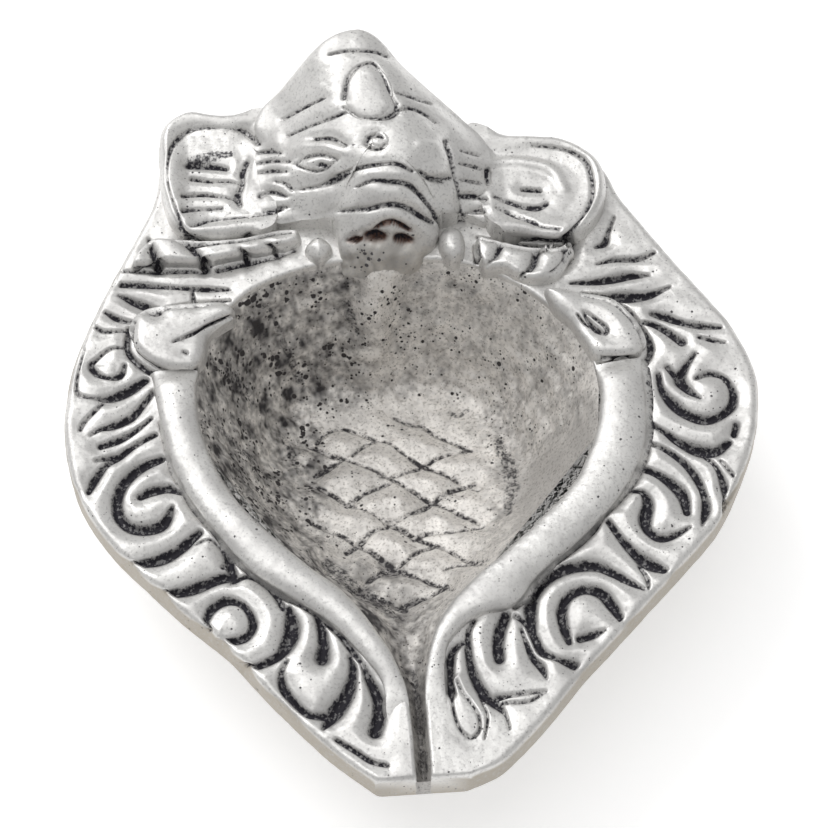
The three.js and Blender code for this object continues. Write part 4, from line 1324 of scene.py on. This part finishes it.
@dataclass(frozen=True)
class Lips:
    """The smooth half-round lips on each side of the well, which run out flat before the spout.

    Attributes:
        height: Their crest above the border.
        tip_height: What their crest falls to towards the spout.
        fade: Places along Y between which it falls.
        depth: How deep they are bedded.
        sink: How far they sink into the border where they end.
        ramp: Length over which they sink.
        setback: How far they end before the spout's tip.
        along: Squares along each.
        around: Squares round each.
    """

    height: float = 1.25
    tip_height: float = -0.25
    fade: Row = (-41.5, -25.0)
    depth: float = 2.0
    sink: float = 0.4
    ramp: float = 3.0
    setback: float = 6.4
    along: int = 420
    around: int = 48

    def build(self, finish: Material) -> None:
        """Makes both lips.

        Args:
            finish: Their material.
        """
        first = SPOUT_TIP + self.setback
        for name, mouth, crease, end, turned in (
            ("left_lip", LEFT_MOUTH, LEFT_CREASE, 5.4, False),
            ("right_lip", RIGHT_MOUTH, RIGHT_CREASE, 2.9, True),
        ):
            inner, outer = curve(mouth, 0.2), curve(crease, 0.2)
            inner = inner[np.argmax(inner[:, 1] > first) : np.argmax(inner[:, 1] > end)]
            outer = outer[np.argmax(outer[:, 1] > first) :]
            shares = np.linspace(0, 1, self.along + 1)
            shares = shares[::-1] if turned else shares
            inner, outer = at_shares(inner, shares), at_shares(outer, shares)
            middle, half = (inner + outer) / 2, (outer - inner) / 2
            rise = self.tip_height + (self.height - self.tip_height) * ease(middle[:, 1], *self.fade)
            rise *= 0.35 + 0.65 * ease(1 - shares, 0, 0.05)
            sunk = self.sink * ease(-middle[:, 1], -first - self.ramp, -first)
            rows = []
            for angle in np.linspace(-1.5 * math.pi, 0.5 * math.pi, self.around + 1):
                across, up = math.sin(angle), -math.cos(angle)
                level = np.where(up > 0, rise * abs(up) ** 0.9, -self.depth * abs(up))
                rows.append(with_height(middle + half * across, level - sunk))
            rows = np.stack(rows)
            rows = np.roll(rows[:-1], self.around // 2, axis=0)
            rows = np.concatenate([rows, rows[:1]])
            none = np.zeros(len(rows))
            dress(bar(name, rows, none + 1, none, SCROLLWORK), finish, Slot.SILVER, name)


@dataclass(frozen=True)
class Volutes:
    """The curled ends of the lips beside the head.

    Attributes:
        height: How far they stand up.
        edge_round: Rounding of their edges.
    """

    height: float = 1.7
    edge_round: float = 1.5

    LEFT = (
        (-22, 4.9), (-24.8, 4.9), (-27.4, 6), (-29.3, 8.4), (-29.3, 11.5), (-27.6, 13.2), (-23, 13.7),
        (-18.4, 13.4), (-17.4, 11.8), (-20.4, 9.4), (-21, 7),
    )
    RIGHT = (
        (22.3, 3.2), (26, 3), (27.9, 4), (28, 6.2), (27.1, 8.4), (25, 11), (21.8, 12), (17.4, 12.9),
        (18, 10.8), (20, 8), (21.2, 5.4),
    )

    def build(self, finish: Material) -> None:
        """Makes both volutes.

        Args:
            finish: Their material.
        """
        for name, points, centre in (
            ("left_volute", self.LEFT, (-24.4, 9.6)),
            ("right_volute", self.RIGHT, (23.8, 7.6)),
        ):
            outline = anticlockwise(points)

            def surface(places: Array, _: Array, outline: Array = outline) -> Skin:
                """Gives its domed top."""
                drop = round_edge(rim_distance(places, outline), self.edge_round)
                drop *= self.height / self.edge_round * EDGE_SHARE
                return Skin(with_height(places, self.height - drop))

            dress(patch(name, outline, centre, surface, SCROLLWORK, 0.13), finish, Slot.SILVER, name)


@dataclass(frozen=True)
class Head:
    """The elephant's head, crown and trunk, with one smooth form, and the crown's jewel and forehead mark.

    Attributes:
        profile: Rows of y and height down the middle.
        left: Rows of y and the left side's x.
        right: Rows of y and the right side's x.
        temple: Rows of y and the height of the sides.
        squareness: How squarely it turns down to the sides.
        edge_round: Rounding of its outline.
        temple_drop: How far the temples fall towards the ears.
        worn: Where the trunk's end is rough, along Y.
        jewel: Half-breadth, half-length and rise of the crown's jewel.
        mark: The same of the forehead mark.
    """

    profile: Line = (
        (17, -1.4), (17.6, 0.2), (18.9, 3), (20.7, 6.6), (23.2, 8.7), (25.2, 9.4), (28, 10.1), (31, 10.6),
        (36, 11.1), (40, 11.4), (42, 11.5), (43.4, 11.4),
    )
    left: Line = (
        (17, -4), (18.6, -4.6), (24, -5.2), (26, -6.6), (28, -8.3), (32, -8.9), (37, -9.6), (40, -10.2),
        (43.4, -9),
    )
    right: Line = (
        (17, 4.3), (20, 5.4), (23, 6.1), (25, 7.6), (28, 8.8), (32, 8.2), (37, 6.4), (40, 4.8),
        (43.4, 3.6),
    )
    temple: Line = ((17.0, -1.5), (20.5, -0.4), (23.0, 2.4), (27.0, 3.4), (36.0, 3.4), (43.4, 3.0))
    squareness: float = 2.8
    edge_round: float = 0.6
    temple_drop: float = 0.9
    worn: Row = (18.4, 20.2)
    jewel: tuple[float, float, float] = (2.9, 3.85, 0.4)
    mark: tuple[float, float, float] = (1.1, 1.05, 0.35)

    OUTLINE = (
        (-5, 17.8), (-2.4, 17.2), (1.2, 17.3), (4.4, 18.6), (6, 20.6), (6.6, 22.4), (9.4, 22.8),
        (12.2, 22.4), (12.6, 28), (12.2, 31.8), (9.6, 34.8), (4.4, 38.6), (0.7, 42.1), (-1.4, 43),
        (-4, 42.6), (-9.6, 40), (-13.8, 37.4), (-14.2, 30), (-12.4, 23.4), (-9, 23.4), (-6, 22.6),
        (-5.4, 20),
    )
    BROW = (
        (-14, 32.6), (-10.5, 32.4), (-8, 31.7), (-5, 31.5), (-3.5, 31.7), (-2.2, 30.9), (-0.9, 30.5),
        (0.6, 30.5), (1.8, 30.9), (2.7, 31.6), (4.3, 31.8), (5.8, 31.6), (8, 31.3), (12.3, 31.2),
    )
    TRUNK_TOP = (
        (6.5, 22.4), (5.1, 23.4), (3.8, 24.2), (1.9, 24.9), (0, 24.8), (-2.9, 24.5), (-5, 23.7),
        (-5.9, 22.4),
    )

    @staticmethod
    def along(rows: Line, y: Array) -> Array:
        """Reads a value along the head, smoothly.

        Args:
            rows: Rows of y and the value.
            y: Places along Y.

        Returns:
            The values there.
        """
        line = curve(rows, 0.1)
        return np.interp(y, line[:, 0], line[:, 1])

    def level(self, places: Array) -> Array:
        """Gives the head's height.

        Args:
            places: Plan places.

        Returns:
            Heights above the border's top.
        """
        x, y = places.T
        low, high = self.along(self.temple, y), self.along(self.profile, y)
        left, right = self.along(self.left, y), self.along(self.right, y)
        across = np.abs(2 * x - left - right) / (right - left)
        edge = rim_distance(places, anticlockwise(self.OUTLINE, 0.5))
        free = np.maximum(ease(y, 33, 36), 1 - ease(y, 22, 23.5))
        drop = free * round_edge(edge, self.edge_round)
        drop += (1 - free) * self.temple_drop * (1 - ease(edge, 0, 3))
        return low + (high - low) * np.exp(-0.9 * across**self.squareness) - drop

    def _surface(self, places: Array, _: Array) -> Skin:
        """Gives the head's form, rough and dull at the trunk's end.

        Args:
            places: Plan places.

        Returns:
            The skin.
        """
        end = 1 - ease(places[:, 1], *self.worn)
        points = with_height(places, self.level(places))
        tone = 1 - (0.1 + 0.35 * lumps(points, 1.3)) * end
        return Skin(points, 1.0, 0.5 * end, 0.05 + 0.4 * end, tone, 0.3 + 0.6 * end)

    def build(self, finish: Material) -> None:
        """Makes the face, the crown, the trunk, the jewel and the mark.

        Args:
            finish: Their material.
        """
        around = curve(self.OUTLINE, 0.25, closed=True)
        brow, trunk_top = curve(self.BROW, 0.25), curve(self.TRUNK_TOP, 0.25)
        x, y = around.T
        high = (y > np.interp(x, brow[:, 0], brow[:, 1])) & (y > 28)
        low = (y < 22.4) & (np.abs(x) < 6.7)
        behind, foot, sides = around[high], around[low], around[~high & ~low]
        foot = foot[np.argsort(foot[:, 0])]
        right, left = sides[sides[:, 0] > 0], sides[sides[:, 0] <= 0]
        right, left = right[np.argsort(right[:, 1])], left[np.argsort(-left[:, 1])]
        right = self._in_order(right, trunk_top[0])
        left = self._in_order(left, brow[0])
        behind = self._in_order(behind, brow[-1])
        for name, node, lines, centre in (
            ("crown", "crown", (brow, behind), (-0.9, 36.0)),
            ("trunk", "trunk", (foot, trunk_top), (0.2, 21.2)),
            ("elephant_face", "elephant_head", (brow[::-1], left, trunk_top[::-1], right), (-0.6, 28.2)),
        ):
            outline = anticlockwise(np.vstack(lines)[::3])
            dress(patch(name, outline, centre, self._surface, FIGURE, 0.13), finish, Slot.SILVER, node)
        self._stone("crown_jewel", (-1.0, 34.2), self.jewel, finish)
        self._stone("forehead_mark", (-0.1, 28.0), self.mark, finish)

    @staticmethod
    def _in_order(points: Array, start: Array) -> Array:
        """Sorts points into a path.

        Args:
            points: Rows of x and y.
            start: The place near which it starts.

        Returns:
            The points along the path.
        """
        left = list(points)
        path = []
        place = start[:2]
        while left:
            nearest_one = int(np.argmin([np.linalg.norm(point[:2] - place) for point in left]))
            path.append(left.pop(nearest_one))
            place = path[-1][:2]
        return np.array(path)

    def _stone(self, name: str, place: Row, size: Row, finish: Material) -> None:
        """Makes an oval stone on the head.

        Args:
            name: The piece's name.
            place: Its middle.
            size: Its half-breadth, half-length and rise.
            finish: Its material.
        """
        across, along, rise = size
        turns = np.linspace(0, 2 * math.pi, 24, endpoint=False)
        ring = [place[0] + across * np.cos(turns), place[1] + along * np.sin(turns)]
        outline = anticlockwise(np.column_stack(ring))

        def surface(places: Array, share: Array) -> Skin:
            """Gives its domed top."""
            height = self.level(places) + rise * np.sqrt(np.maximum(1 - share**2.5, 0)) - 0.1
            return Skin(with_height(places, height), rough=0.03)

        def down(edge: Vector) -> Vector:
            """Puts a point of the edge inside the head."""
            return Vector((edge.x, edge.y, edge.z - BEDDING))

        dress(patch(name, outline, place, surface, FIGURE, 0.1, (down,)), finish, Slot.SILVER, name)


@dataclass(frozen=True)
class Raised:
    """A low raised part.

    Attributes:
        name: Its name, and its solid's.
        outline: Its plan outline.
        centre: The middle of its grid.
        height: Its height.
        edge_round: Rounding of its edge.
        hollow: How far its middle is sunk.
        merges: Distance from the lamp's middle within which its edge isn't rounded.
    """

    name: str
    outline: Line
    centre: Row
    height: float
    edge_round: float
    hollow: float = 0.0
    merges: float = 0.0


@dataclass(frozen=True)
class EarsAndCollars:
    """The ears, the leaves under them and the beads beside the trunk."""

    parts: tuple[Raised, ...] = (
        Raised(
            "left_ear",
            (
                (-12.6, 38.4), (-18.2, 38.8), (-22.2, 39.5), (-25, 37.3), (-25.4, 32.4), (-25.2, 27.4),
                (-23.4, 22.6), (-20.3, 21.6), (-16, 21.7), (-12.6, 22.6), (-12.2, 26), (-12.6, 29),
                (-12.6, 34),
            ),
            (-19.0, 30.0), 2.7, 1.1, 0.8, 14.0,
        ),
        Raised(
            "right_ear",
            (
                (10.6, 34.9), (14, 33.8), (18, 33.3), (21.5, 32.6), (25.2, 29.4), (25.7, 25), (23.6, 20.8),
                (20.6, 18.8), (16, 19.4), (12.2, 20.8), (11, 24.4), (10.6, 28.4),
            ),
            (18.4, 26.0), 2.7, 1.1, 0.8, 12.5,
        ),
        Raised(
            "left_collar",
            (
                (-29, 18.9), (-26.6, 22.4), (-23.5, 22.2), (-20.5, 21.8), (-16.4, 21.9), (-12.4, 22.6),
                (-9.8, 22.4), (-9.9, 21), (-13.2, 20), (-16, 19.5), (-20.6, 18.8), (-25, 19),
            ),
            (-18.5, 20.3), 1.8, 0.8,
        ),
        Raised(
            "right_collar",
            (
                (9.9, 17.4), (10.9, 16.1), (13.1, 15.6), (14.8, 14.3), (18, 13.9), (20, 15.3),
                (21.2, 17.4), (20.8, 18.8), (19.6, 18.2), (16.3, 18.4), (12.9, 19.4), (10.5, 20.2),
                (9.8, 19),
            ),
            (16.2, 17.0), 1.8, 0.8,
        ),
        Raised(
            "left_bead",
            ((-6.1, 19.9), (-7.7, 21.5), (-9.3, 19.9), (-7.7, 18.3)),
            (-7.7, 19.9), 2.0, 1.6,
        ),
        Raised(
            "right_bead",
            ((9, 19.6), (8.6, 21.2), (7.4, 21.8), (6.2, 21), (6.1, 18.6), (7.4, 17.4), (8.6, 17.9)),
            (7.5, 19.6), 2.0, 1.4,
        ),
    )

    def build(self, finish: Material) -> None:
        """Makes each part.

        Args:
            finish: Their material.
        """
        for part in self.parts:
            outline = anticlockwise(part.outline)

            def surface(places: Array, _: Array, part: Raised = part, outline: Array = outline) -> Skin:
                """Gives its top, rounded at the edge and sunk in the middle."""
                inward = rim_distance(places, outline)
                free = ease(np.abs(places[:, 0]), part.merges, part.merges + 3) if part.merges else 1.0
                drop = free * round_edge(inward, part.edge_round)
                drop *= part.height / part.edge_round * EDGE_SHARE
                drop += part.hollow * ease(inward, 1.0, 3.5)
                return Skin(with_height(places, part.height - drop))

            piece = patch(part.name, outline, part.centre, surface, FIGURE, 0.13)
            dress(piece, finish, Slot.SILVER, part.name)


# Finishes


def link(tree: Tree, source: Socket, target: Socket) -> None:
    """Joins two sockets."""
    tree.links.new(source, target)


def maths(tree: Tree, operation: str, *values: Socket | float) -> Socket:
    """Adds a sum to a node tree.

    Args:
        tree: The tree.
        operation: The Math node's operation.
        values: Its sockets or numbers.

    Returns:
        The result's socket.
    """
    node = tree.nodes.new("ShaderNodeMath")
    node.operation = operation
    node.use_clamp = operation in {"MULTIPLY", "ADD", "SUBTRACT", "MULTIPLY_ADD"}
    for socket, value in zip(node.inputs, values):
        if isinstance(value, (int, float)):
            socket.default_value = value
        else:
            link(tree, value, socket)
    return node.outputs[0]


def mix(
    tree: Tree,
    share: Socket,
    first: Socket | Color,
    second: Socket | Color,
) -> Socket:
    """Mixes two colours.

    Args:
        tree: The node tree.
        share: How much of the second.
        first: A colour or socket.
        second: A colour or socket.

    Returns:
        The mixed colour's socket.
    """
    node = tree.nodes.new("ShaderNodeMix")
    node.data_type = "RGBA"
    link(tree, share, node.inputs["Factor"])
    for socket, value in ((node.inputs[6], first), (node.inputs[7], second)):
        if isinstance(value, tuple):
            socket.default_value = (*value, 1)
        else:
            link(tree, value, socket)
    return node.outputs[2]


def attribute(tree: Tree, name: str) -> Socket:
    """Reads a value that the mesh holds.

    Args:
        tree: The node tree.
        name: The attribute's name.

    Returns:
        The value's socket.
    """
    node = tree.nodes.new("ShaderNodeAttribute")
    node.attribute_name = name
    return node.outputs["Fac"]


def spread(tree: Tree, value: Socket, low: float, high: float) -> Socket:
    """Stretches part of a value to run smoothly from 0 to 1.

    Args:
        tree: The node tree.
        value: The value.
        low: Where it leaves 0.
        high: Where it reaches 1.

    Returns:
        The result's socket.
    """
    node = tree.nodes.new("ShaderNodeMapRange")
    node.interpolation_type = "SMOOTHSTEP"
    link(tree, value, node.inputs["Value"])
    node.inputs["From Min"].default_value = low
    node.inputs["From Max"].default_value = high
    return node.outputs["Result"]


class SurfaceGroup:
    """The cast metal's specks, cloudy tarnish and grain, shared by both finishes.

    Attributes:
        NAME: The node group's name.
        PATCHES: Where specks gather, in features to a metre.
        CLOUDS: Tarnish, likewise.
        GRAIN: Grain, likewise.
        FINE: Fine grain, likewise.
        LARGE_DOTS: Large specks to a metre.
        SMALL_DOTS: Small specks to a metre.
    """

    NAME = "cast_surface"
    PATCHES = 300
    CLOUDS = 190
    GRAIN = 1300
    FINE = 3200
    LARGE_DOTS = 1300
    SMALL_DOTS = 2400

    @classmethod
    def place(cls, tree: Tree, worn: Socket, clouds: float) -> bpy.types.ShaderNodeGroup:
        """Puts the group in a material.

        Args:
            tree: The material's tree.
            worn: How many dark specks.
            clouds: How much tarnish.

        Returns:
            The group's node.
        """
        node = tree.nodes.new("ShaderNodeGroup")
        node.node_tree = bpy.data.node_groups.get(cls.NAME) or cls._make()
        link(tree, worn, node.inputs["Worn"])
        node.inputs["Clouds"].default_value = clouds
        return node

    @classmethod
    def _make(cls) -> Tree:
        """Builds the group once.

        Returns:
            The node group.
        """
        group = bpy.data.node_groups.new(cls.NAME, "ShaderNodeTree")
        for name in ("Worn", "Clouds"):
            group.interface.new_socket(name, in_out="INPUT", socket_type="NodeSocketFloat")
        for name in ("Specks", "Cloud Mask", "Grain", "Fine Grain", "Height"):
            group.interface.new_socket(name, in_out="OUTPUT", socket_type="NodeSocketFloat")
        source = group.nodes.new("NodeGroupInput")
        target = group.nodes.new("NodeGroupOutput")
        place = group.nodes.new("ShaderNodeTexCoord").outputs["Object"]
        patches = cls._noise(group, place, cls.PATCHES, 2)
        clouds = cls._noise(group, place, cls.CLOUDS, 4)
        grain = cls._noise(group, place, cls.GRAIN, 3)
        fine = cls._noise(group, place, cls.FINE, 2)
        worn = maths(group, "MULTIPLY", source.outputs["Worn"], spread(group, patches, 0.3, 0.65))
        large = cls._dots(group, place, cls.LARGE_DOTS, worn, fine)
        small = cls._dots(group, place, cls.SMALL_DOTS, worn, fine)
        specks = maths(group, "MAXIMUM", large, small)
        cloud_mask = maths(group, "MULTIPLY", spread(group, clouds, 0.4, 0.68), source.outputs["Clouds"])
        pits = maths(group, "MULTIPLY", specks, 0.5)
        height = maths(group, "SUBTRACT", maths(group, "MULTIPLY_ADD", grain, 0.5, 0.4), pits)
        link(group, specks, target.inputs["Specks"])
        link(group, cloud_mask, target.inputs["Cloud Mask"])
        link(group, grain, target.inputs["Grain"])
        link(group, fine, target.inputs["Fine Grain"])
        link(group, height, target.inputs["Height"])
        return group

    @staticmethod
    def _dots(
        tree: Tree,
        place: Socket,
        scale: float,
        amount: Socket,
        ragged: Socket,
    ) -> Socket:
        """Adds dots of uneven size over the object's place.

        Args:
            tree: The node tree.
            place: The place to read.
            scale: Dots to a metre.
            amount: How large they are.
            ragged: A fine value that roughens their outline.

        Returns:
            The dots' mask.
        """
        node = tree.nodes.new("ShaderNodeTexVoronoi")
        node.inputs["Scale"].default_value = scale
        link(tree, place, node.inputs["Vector"])
        parts = tree.nodes.new("ShaderNodeSeparateColor")
        link(tree, node.outputs["Color"], parts.inputs["Color"])
        largest = maths(tree, "MULTIPLY", amount, 0.75)
        size = maths(tree, "MULTIPLY", maths(tree, "POWER", parts.outputs["Red"], 2.0), largest)
        edge = maths(tree, "MULTIPLY_ADD", ragged, 0.3, node.outputs["Distance"])
        return spread(tree, maths(tree, "SUBTRACT", maths(tree, "ADD", size, 0.15), edge), 0.0, 0.08)

    @staticmethod
    def _noise(tree: Tree, place: Socket, scale: float, detail: float) -> Socket:
        """Adds noise over the object's place.

        Args:
            tree: The node tree.
            place: The place to read.
            scale: Features to a metre.
            detail: How many finer layers it has.

        Returns:
            The noise's socket.
        """
        node = tree.nodes.new("ShaderNodeTexNoise")
        node.inputs["Scale"].default_value = scale
        node.inputs["Detail"].default_value = detail
        link(tree, place, node.inputs["Vector"])
        return node.outputs["Fac"]


@dataclass(frozen=True)
class Finish:
    """A cast white metal, polished or left dull, with black oxide in its cuts.

    Attributes:
        name: The material's name.
        light: Colour of its high places.
        shade: Colour of its tarnish and grain, and of the painted shade in its low places.
        filed: Colour where it is dull.
        oxide_and_shade: Colour of the black in its cuts, which also colours the painted shade.
        speck: Colour of its specks.
        brown_shade: Colour of the painted shade round its slots.
        clouds: How much cloudy tarnish.
        hollow_shade: How much painted shade darkens its low places.
        metallic: How metallic its clean surface is.
        roughness: Roughness of its clean surface.
        bump: Strength of its pits and grain.
        bump_depth: Their depth in metres.
    """

    name: str
    light: Color
    shade: Color
    filed: Color
    oxide_and_shade: Color = (0.024, 0.022, 0.030)
    speck: Color = (0.10, 0.095, 0.10)
    brown_shade: Color = (0.16, 0.085, 0.06)
    clouds: float = 0.5
    hollow_shade: float = 0.5
    metallic: float = 0.65
    roughness: float = 0.4
    bump: float = 0.7
    bump_depth: float = 0.00015

    def build(self) -> Material:
        """Makes the material.

        Returns:
            The node material.
        """
        material = bpy.data.materials.new(self.name)
        material.use_nodes = True
        tree = material.node_tree
        shader = tree.nodes["Principled BSDF"]
        oxide_and_shade, low, brown_shade, dull, bright, worn = (
            attribute(tree, name) for name in ("oxide_and_shade", "low", "brown_shade", "dull", "tone", "worn")
        )
        surface = SurfaceGroup.place(tree, worn, self.clouds)
        grain, fine, specks = (surface.outputs[name] for name in ("Grain", "Fine Grain", "Specks"))
        # The black of the cuts, and the painted shade laid on in black, breaks up into specks where the cut
        # is thin or worn.
        grains = maths(tree, "MULTIPLY_ADD", grain, 0.5, maths(tree, "MULTIPLY", fine, 0.5))
        broken = spread(tree, grains, 0.4, 0.62)
        black = maths(tree, "SUBTRACT", oxide_and_shade, maths(tree, "MULTIPLY_ADD", broken, 0.6, 0.04))
        black = maths(tree, "MULTIPLY", black, 1.7)
        tone = mix(tree, surface.outputs["Cloud Mask"], self.light, self.shade)
        # Painted shade: the carving's low places are darkened towards the shade colour.
        hollow = maths(tree, "MULTIPLY", spread(tree, low, 0.1, 0.8), self.hollow_shade)
        tone = mix(tree, hollow, tone, self.shade)
        tone = mix(tree, dull, tone, self.filed)
        tone = mix(tree, spread(tree, fine, 0.48, 0.8), tone, self.shade)
        # The tone darkens towards the black; in the well it carries painted highlight and painted shade as
        # well as mottling.
        tone = mix(tree, maths(tree, "SUBTRACT", 1.0, bright), tone, self.oxide_and_shade)
        tone = mix(tree, specks, tone, self.speck)
        # Painted shade round the slots
        tone = mix(tree, brown_shade, tone, self.brown_shade)
        tone = mix(tree, black, tone, self.oxide_and_shade)
        link(tree, tone, shader.inputs["Base Color"])
        dirty = maths(tree, "MAXIMUM", black, specks)
        metallic = maths(tree, "MULTIPLY_ADD", dirty, -0.6 * self.metallic, self.metallic)
        link(tree, metallic, shader.inputs["Metallic"])
        rough = maths(tree, "MULTIPLY_ADD", dirty, 0.3, self.roughness)
        rough = maths(tree, "MULTIPLY_ADD", surface.outputs["Cloud Mask"], 0.1, rough)
        rough = maths(tree, "MULTIPLY_ADD", dull, 0.12, rough)
        link(tree, rough, shader.inputs["Roughness"])
        bump = tree.nodes.new("ShaderNodeBump")
        bump.inputs["Strength"].default_value = self.bump
        bump.inputs["Distance"].default_value = self.bump_depth
        link(tree, surface.outputs["Height"], bump.inputs["Height"])
        link(tree, bump.outputs["Normal"], shader.inputs["Normal"])
        return material


SILVER = Finish("aged_silver", (0.79, 0.78, 0.76), (0.52, 0.51, 0.50), (0.46, 0.42, 0.36))
CASTING = Finish(
    "dull_casting",
    (0.90, 0.87, 0.83), (0.40, 0.37, 0.34), (0.88, 0.85, 0.81),
    oxide_and_shade=(0.045, 0.042, 0.045),
    speck=(0.05, 0.045, 0.045),
    clouds=0.9,
    hollow_shade=0.8,
    metallic=0.5,
    roughness=0.42,
)


@dataclass(frozen=True)
class Lamp:
    """A soft studio lamp.

    Attributes:
        place: Where it stands, in metres.
        size: Its breadth.
        power: Its power in watts.
    """

    place: tuple[float, float, float]
    size: float
    power: float

    def build(self) -> None:
        """Puts up the lamp, turned to the object."""
        light = bpy.data.objects.new("softbox", bpy.data.lights.new("softbox", "AREA"))
        light.data.energy = self.power
        light.data.size = self.size
        light.location = self.place
        light.rotation_euler = (-Vector(self.place)).to_track_quat("-Z", "Y").to_euler()
        bpy.context.scene.collection.objects.link(light)


@dataclass(frozen=True)
class Studio:
    """Pale floor, soft lamps and the camera.

    Attributes:
        lamps: The lamps.
        room: Brightness of the room.
        floor_size: Breadth of the floor in metres.
        floor_glow: How far the floor is lifted to white where it is seen.
    """

    lamps: tuple[Lamp, ...] = (
        Lamp((-0.34, 0.4, 0.5), 0.5, 1.9),
        Lamp((-0.14, 0.1, 0.9), 0.8, 1.8),
    )
    room: float = 0.5
    floor_size: float = 3.0
    floor_glow: float = 0.45

    def build(self) -> None:
        """Makes the floor, the lamps, the world and the camera."""
        scene = bpy.context.scene
        scene.view_settings.view_transform = "Standard"
        world = bpy.data.worlds.new("room")
        scene.world = world
        world.use_nodes = True
        background = world.node_tree.nodes["Background"]
        background.inputs["Color"].default_value = (1, 1, 1, 1)
        background.inputs["Strength"].default_value = self.room
        for lamp in self.lamps:
            lamp.build()
        self._floor()
        self._camera()

    def _floor(self) -> None:
        """Lays the floor, which shows white to the camera apart from the lamp's shadow."""
        bm = bmesh.new()
        bmesh.ops.create_grid(bm, x_segments=2, y_segments=2, size=self.floor_size / 2)
        mesh = bpy.data.meshes.new("floor")
        bm.to_mesh(mesh)
        bm.free()
        floor = bpy.data.objects.new("floor", mesh)
        bpy.context.scene.collection.objects.link(floor)
        material = bpy.data.materials.new("white_floor")
        material.use_nodes = True
        tree = material.node_tree
        shader = tree.nodes["Principled BSDF"]
        shader.inputs["Base Color"].default_value = (0.9, 0.9, 0.9, 1)
        shader.inputs["Roughness"].default_value = 0.9
        shader.inputs["Emission Color"].default_value = (1, 1, 1, 1)
        rays = tree.nodes.new("ShaderNodeLightPath")
        seen = maths(tree, "ADD", rays.outputs["Is Camera Ray"], rays.outputs["Is Glossy Ray"])
        seen = maths(tree, "ADD", seen, rays.outputs["Is Transmission Ray"])
        link(tree, maths(tree, "MULTIPLY", seen, self.floor_glow), shader.inputs["Emission Strength"])
        floor.data.materials.append(material)

    @staticmethod
    def _camera() -> None:
        """Places the camera."""
        camera = bpy.data.objects.new("camera", bpy.data.cameras.new("camera"))
        camera.data.lens = VIEW.lens
        camera.data.clip_start = 0.01
        camera.location = (VIEW.eye() + Vector((0, 0, PLATE_TOP))) * MM
        camera.rotation_mode = "QUATERNION"
        camera.rotation_quaternion = Quaternion(VIEW.axes()[2].to_track_quat("Z", "Y"))
        bpy.context.scene.collection.objects.link(camera)
        bpy.context.scene.camera = camera


def main() -> None:
    """Builds the lamp's parts, dresses them and lights them."""
    silver, casting = SILVER.build(), CASTING.build()
    OilWell().build(casting)
    for part in (Border(), Lips(), Volutes(), Head(), EarsAndCollars()):
        part.build(silver)
    Studio().build()


if __name__ == "__main__":
    main()
